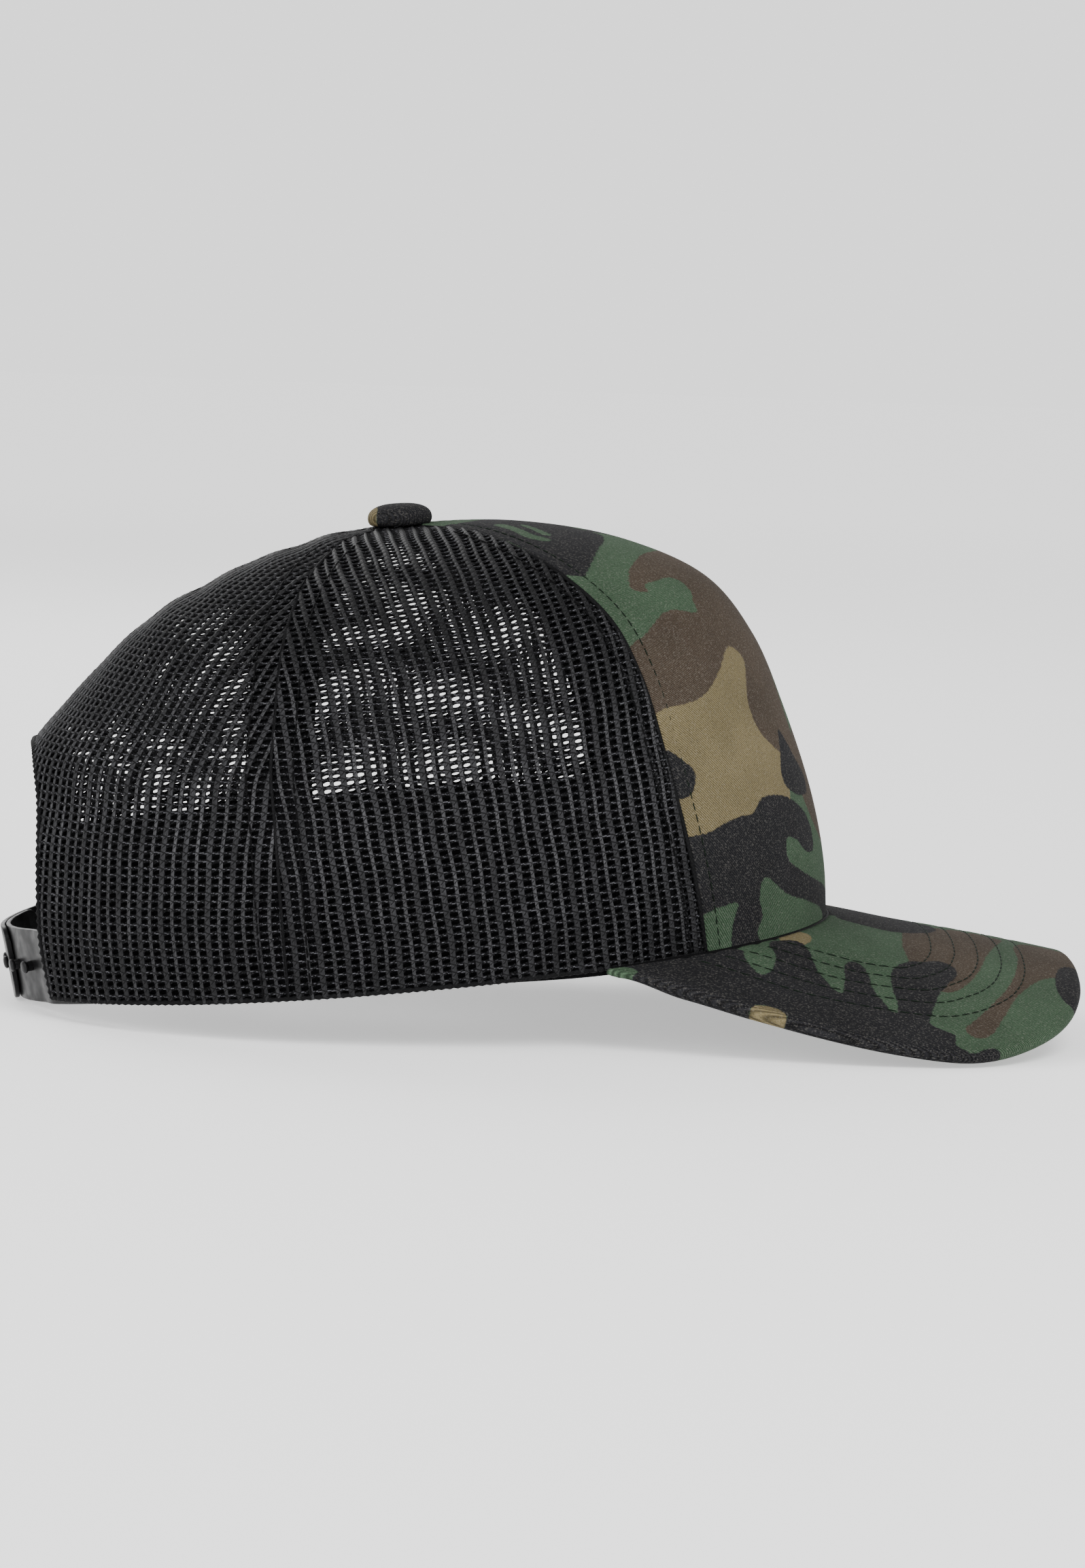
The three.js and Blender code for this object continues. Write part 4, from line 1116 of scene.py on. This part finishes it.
def inset_line(distance):
    """The visor's outline moved in by a distance, where it still lies in front of the crown."""
    s = np.linspace(-0.97, 0.97, 400)
    edge = visor_edge(s)
    tangent = unit(np.gradient(edge, axis=0))
    inward = np.stack([tangent[:, 1], -tangent[:, 0]], axis=-1)
    middle = np.array([100.0, 0.0])
    facing = np.sign(np.sum(inward * (middle - edge), axis=1))[:, None]
    line = edge + inward * facing * distance
    ring = crown_point(0, np.linspace(-VISOR_END_ANGLE, VISOR_END_ANGLE, 200))[:, :2]
    gap = np.linalg.norm(line[:, None] - ring[None], axis=2)
    nearest = ring[gap.argmin(axis=1)]
    ahead = np.linalg.norm(line, axis=1) > np.linalg.norm(nearest, axis=1)
    return line[ahead & (gap.min(axis=1) > 2.5)]


def on_piece(piece, plan, above):
    """Points of a piece straight above or below plan points, and its normals there."""
    tree = BVHTree.FromPolygons([v.co for v in piece.data.vertices],
                                [tuple(p.vertices) for p in piece.data.polygons])
    points, normals = [], []
    for x, y in plan:
        start = place(np.array([x, y, 60.0 if above else -60.0]))
        direction = Vector((0, 0, -1 if above else 1))
        hit, normal, _, _ = tree.ray_cast(Vector(start), direction)
        if hit is not None:
            points.append(unplace(np.array(hit)))
            normals.append(np.array(normal) * (1 if normal.dot(direction) < 0 else -1))
    return np.array(points), np.array(normals)


def build_board():
    """The stiff board between the covers."""
    s, share = np.broadcast_arrays(np.linspace(-0.985, 0.985, 121), np.linspace(0, 1, 30)[:, None])
    length = np.linalg.norm(visor_edge(s) - visor_root(s), axis=-1)
    distance = 1.6 + (length - 2.1) * share
    points = two_grids(*(visor_point(s, distance, depth) for depth in (1.2, 2.8)))
    outward(new_piece("visor_board_moulded", points, sheet_faces(*s.shape), BOARD, ["visor_board"],
                      "board_plastic"))


def build_visor_seam():
    """The dark seam between the crown's hem and the visor, with its turned-in cloth."""
    angle = np.linspace(-VISOR_END_ANGLE, VISOR_END_ANGLE, 240)
    path = crown_inside(0.002, angle, -0.2)
    bead("visor_seam_cord", path, 0.55, BLACK_THREAD)
    bead("visor_seam_turning", path - np.array([0, 0, 1.1]), 0.7, BLACK_THREAD)


def build_visor():
    build_board()
    build_visor_seam()
    covers = {level: visor_cover(f"visor_{level}_twill", turn, f"visor_{level}_cover")
              for level, turn in (("top", TOP_TURN), ("bottom", BOTTOM_TURN))}
    lines = [resampled(inset_line(row), 1.0) for row in VISOR_STITCH_ROWS]
    for level, cover in covers.items():
        rows = [on_piece(cover, line, level == "top") for line in lines]
        stitches(f"visor_{level}_stitches", rows, DARK_THREAD, length=2.7, gap=0.7, radius=0.2)


# ---------- Button ----------

BUTTON_RADIUS = 8.2
BUTTON_HEIGHT = 4.6
BUTTON_SEAT = 0.35
BUTTON_TILT = math.radians(4.5)
BUTTON_SIDES = 96
# Radius and height up the cloth, from under the rim to where the dome begins.
BUTTON_SKIRT = [(5.6, -0.95), (7.0, -0.95), (7.7, -0.6), (8.05, 0.1), (BUTTON_RADIUS, 0.9)]
BUTTON_DOME_FOOT = 1.1
BUTTON_TAN = [(-9, -6), (-6.2, -5.6), (-5.6, -2), (-6.6, 1), (-9, 2)]
NOT_PRINTED = 9.0


def build_button():
    """A domed twill button: its cloth is drawn in under the rim in small pleats."""
    turn = np.linspace(0, 2 * math.pi, BUTTON_SIDES, endpoint=False)
    a = np.linspace(0.12, math.pi / 2, 18)[:-1]
    dome = np.stack([BUTTON_RADIUS * np.cos(a) ** 0.72,
                     BUTTON_DOME_FOOT + (BUTTON_HEIGHT - BUTTON_DOME_FOOT) * np.sin(a) ** 0.95], axis=1)
    profile = np.concatenate([BUTTON_SKIRT, dome])[:, None]
    radius, height = profile[..., 0], profile[..., 1] + 0 * turn
    radius = radius + 0.09 * np.cos(24 * turn) * smoothstep(2.2, 0.2, height)
    rings = np.stack([radius * np.cos(turn), radius * np.sin(turn), height], axis=-1)
    local = rings.reshape(-1, 3)
    c, s = math.cos(BUTTON_TILT), math.sin(BUTTON_TILT)
    x, y, z = local.T + np.array([[0], [0], [BUTTON_SEAT]])
    middle, peak = FRONT_LINE[-1][0], crown_point(0.999, 0)[2]
    points = np.stack([middle + x * c - z * s, y, peak + x * s + z * c], axis=-1)
    patch = signed_distance(local[:, :2], smooth_outline(BUTTON_TAN))
    values = {"brown": np.full(len(local), NOT_PRINTED), "tan": patch, "charcoal": -patch,
              "twill": (local[:, 0] * 0.6 + local[:, 1] * 0.8) / TWILL_PITCH}
    outward(new_piece("button_cover_twill", place(points), swept(rings), CAMO, ["button_cover"],
                      "camo_twill", **values))


# ---------- Snap strap ----------


def tip_half_height(distance):
    d = np.minimum(distance, STRAP_CORNER)
    return STRAP_HEIGHT / 2 - STRAP_CORNER + np.sqrt(STRAP_CORNER**2 - (STRAP_CORNER - d) ** 2)


STRAP_SOFTNESS = 0.32


def strap_mesh(name, from_y, tip_y, depth_at):
    """A strap with softly rounded edges, from its sewn-in root to its rounded tip."""
    toward = np.sign(from_y - tip_y)
    close = np.array([0.05, 0.25, 0.6, 1.1, 1.8, 2.8, 4.0])
    rings = []
    for y in np.concatenate([tip_y + toward * close, np.linspace(tip_y + toward * 5, from_y, 60)]):
        section = rounded_section(float(tip_half_height(abs(y - tip_y))), STRAP_SOFTNESS)
        rings.append([strap_inside(y, depth_at(y) + inward) + STRAP_UP * height
                      for height, inward in section])
    return lofted(name, np.array(rings), STRAP, slot="strap_plastic", body=None)


def rounded_section(half, soft):
    """The outline of a strap's section: height from the middle and depth in from the outer face."""
    outline = []
    middles = ((1, soft, 0), (1, STRAP_THICKNESS - soft, 90), (-1, STRAP_THICKNESS - soft, 180),
               (-1, soft, 270))
    for sign, depth, start in middles:
        for step in range(4):
            w = math.radians(start + 30 * step)
            outline.append((sign * (half - soft) + soft * math.sin(w), depth - soft * math.cos(w)))
    return outline


def axes_at(x, y, z, origin):
    """The matrix of a frame with these axes and origin."""
    columns = np.stack([x, y, z, origin], axis=1)
    return Matrix([*columns.tolist(), (0, 0, 0, 1)])


def turned_on_strap(name, y, depth, profile, segments=28):
    """A round solid standing out of the strap. profile is radius and height, from the axis round."""
    turn = np.linspace(0, 2 * math.pi, segments, endpoint=False)
    rings = np.array([[(r * math.cos(w), r * math.sin(w), h) for w in turn] for r, h in profile])
    piece = new_piece(name, rings.reshape(-1, 3) * MM, swept(rings), STRAP, body=None)
    out = tilted(strap_out(y))
    side = unit(np.cross([0, 0, 1], out))
    piece.data.transform(axes_at(side, np.cross(out, side), out, place(strap_inside(y, depth))))
    return outward(piece)


def joined(piece, others, operation):
    """Joins or cuts a piece with others, which are then removed."""
    for other in others:
        modifier = piece.modifiers.new(operation, "BOOLEAN")
        modifier.operation = operation
        modifier.object = other
        modifier.solver = "EXACT"
    graph = bpy.context.evaluated_depsgraph_get()
    mesh = bpy.data.meshes.new_from_object(piece.evaluated_get(graph))
    piece.modifiers.clear()
    piece.data = mesh
    for other in others:
        bpy.data.objects.remove(other)


PEG_STEP_END_Y = -26.5        # beyond here the peg strap lies behind the hole strap
# Radius and height, from the middle of the strap for a hole and from just inside it for a peg.
HOLE_PROFILE = [(2.62, -1.2), (2.32, -0.55), (2.3, 0.0), (2.32, 0.4), (2.7, 0.95)]
PEG_PROFILE = [(1.3, 0.0), (1.3, 0.5), (1.25, 1.9), (1.6, 2.25), (1.62, 2.6), (1.35, 2.95), (0.8, 3.12),
               (0.1, 3.18)]
PEG_ROOT_DEPTH = 0.5


def peg_step(y):
    """How far the peg strap steps in, to lie behind the other."""
    return STRAP_STEP * float(smoothstep(-HINGE_Y, PEG_STEP_END_Y, y))


def finish_strap(piece, node, anchor):
    piece.data.shade_smooth()
    piece.data.set_sharp_from_angle(angle=math.radians(38))
    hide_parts(node, anchor)
    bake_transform(piece)


def build_strap():
    holes = strap_mesh("snap_strap_holes_moulded", ANCHOR_END_Y, HOLE_STRAP_TIP_Y, lambda y: 0.0)
    cutters = [turned_on_strap(f"cutter_{k}", y, STRAP_THICKNESS / 2, HOLE_PROFILE)
               for k, y in enumerate(HOLES_AT)]
    joined(holes, cutters, "DIFFERENCE")
    pegs = strap_mesh("snap_strap_pegs_moulded", -ANCHOR_END_Y, PEG_STRAP_TIP_Y, peg_step)
    heads = [turned_on_strap(f"peg_{k}", y, peg_step(y) + PEG_ROOT_DEPTH, PEG_PROFILE)
             for k, y in enumerate(PEGS_AT)]
    joined(pegs, heads, "UNION")
    finish_strap(holes, "snap_strap_holes", "strap_anchor_left")
    finish_strap(pegs, "snap_strap_pegs", "strap_anchor_right")


# ---------- Metal nodes that keep their shape ----------


def dress_frame_nodes():
    for node in ("button_shell", "button_rivet", "button_washer"):
        mesh = frame["nodes"][node].data
        mesh.materials.clear()
        mesh.materials.append(STEEL)


# ---------- Stage, light and camera ----------

VIEW_AZIMUTH = math.radians(-3.0)
VIEW_ELEVATION = math.radians(5.5)
VIEW_DISTANCE = 1500
VIEW_HEIGHT = 403.55          # height of the picture at the cap, in millimetres
VIEW_ROLL = math.radians(1.75)
VIEW_MIDDLE = (27.6, 0, 57.2)
VIEW_LIFT = 0.3
SENSOR = 36
FLOOR_HALF = 6.0
FLOOR_DROP = 0.0005


def build_camera():
    a, e = VIEW_AZIMUTH, VIEW_ELEVATION
    back = np.array([math.sin(a) * math.cos(e), -math.cos(a) * math.cos(e), math.sin(e)])
    right = np.array([math.cos(a), math.sin(a), 0])
    up = np.cross(back, right)
    back, right, up = (tilted(tilted(v, VIEW_ROLL)) for v in (back, right, up))
    middle = place(tilted(VIEW_MIDDLE, VIEW_ROLL) + np.array([0, 0, VIEW_LIFT]))
    camera = bpy.data.objects.new("camera", bpy.data.cameras.new("camera"))
    bpy.context.scene.collection.objects.link(camera)
    camera.data.sensor_width = SENSOR
    camera.data.lens = SENSOR * VIEW_DISTANCE / VIEW_HEIGHT
    camera.data.clip_start, camera.data.clip_end = 0.05, 50
    camera.matrix_world = axes_at(right, up, back, middle + back * VIEW_DISTANCE * MM)
    bpy.context.scene.camera = camera


def area_light(name, origin, aim, size, power):
    data = bpy.data.lights.new(name, "AREA")
    data.shape, data.size, data.energy = "DISK", size, power
    light = bpy.data.objects.new(name, data)
    light.location = origin
    light.rotation_mode = "QUATERNION"
    light.rotation_quaternion = (Vector(aim) - Vector(origin)).to_track_quat("-Z", "Y")
    bpy.context.scene.collection.objects.link(light)


def dim_overhead(tree):
    """A studio that is white all round and dimmer overhead."""
    direction = tree.nodes.new("ShaderNodeTexCoord")
    parts = tree.nodes.new("ShaderNodeSeparateXYZ")
    fade = tree.nodes.new("ShaderNodeMapRange")
    tree.links.new(direction.outputs["Generated"], parts.inputs[0])
    tree.links.new(parts.outputs[2], fade.inputs[0])
    for key, value in zip(range(1, 5), (0.15, 0.8, 1.6, 0.5)):
        fade.inputs[key].default_value = value
    tree.nodes["Background"].inputs[0].default_value = (1, 1, 1, 1)
    tree.links.new(fade.outputs[0], tree.nodes["Background"].inputs[1])


def floor_paint():
    """Pale paint with a slight glow, stronger far away, so that the floor meets the studio's white."""
    n = Nodes("floor_paint", roughness=0.9)
    n.put(n.shader.inputs["Emission Color"], (1, 1, 1, 1))
    away = n.node("VectorMath", {"operation": "LENGTH"}, _0=n.place()).outputs["Value"]
    n.put(n.shader.inputs["Emission Strength"], n.ramp(away, 0.7, 3.0, 0.55, 0.88))
    shade = n.ramp(n.noise(n.place(), 3, 2), 0.3, 0.7, 0.995, 1.0)
    n.put(n.shader.inputs["Base Color"], n.scaled(PALE_FLOOR, shade))
    return n.material


def build_stage():
    r = FLOOR_HALF
    corners = [(-r, -r, 0), (r, -r, 0), (r, r, 0), (-r, r, 0)]
    floor = new_piece("floor", corners, [(0, 1, 2, 3)], floor_paint(), body=None)
    floor.location.z = -FLOOR_DROP
    world = bpy.data.worlds.new("studio")
    bpy.context.scene.world = world
    world.use_nodes = True
    dim_overhead(world.node_tree)
    area_light("key", (0.5, -1.1, 1.3), (0.0, 0, 0.06), 0.9, 22)
    area_light("fill", (-1.1, -0.9, 0.7), (0.0, 0, 0.05), 1.1, 8)
    area_light("rear", (-0.6, 1.2, 1.0), (0, 0, 0.06), 1.0, 12)


build_camera()
build_stage()
build_front()
build_inside()
build_arch_binding()
build_mesh_panels()
build_crown_stitching()
build_visor()
build_button()
build_strap()
dress_frame_nodes()
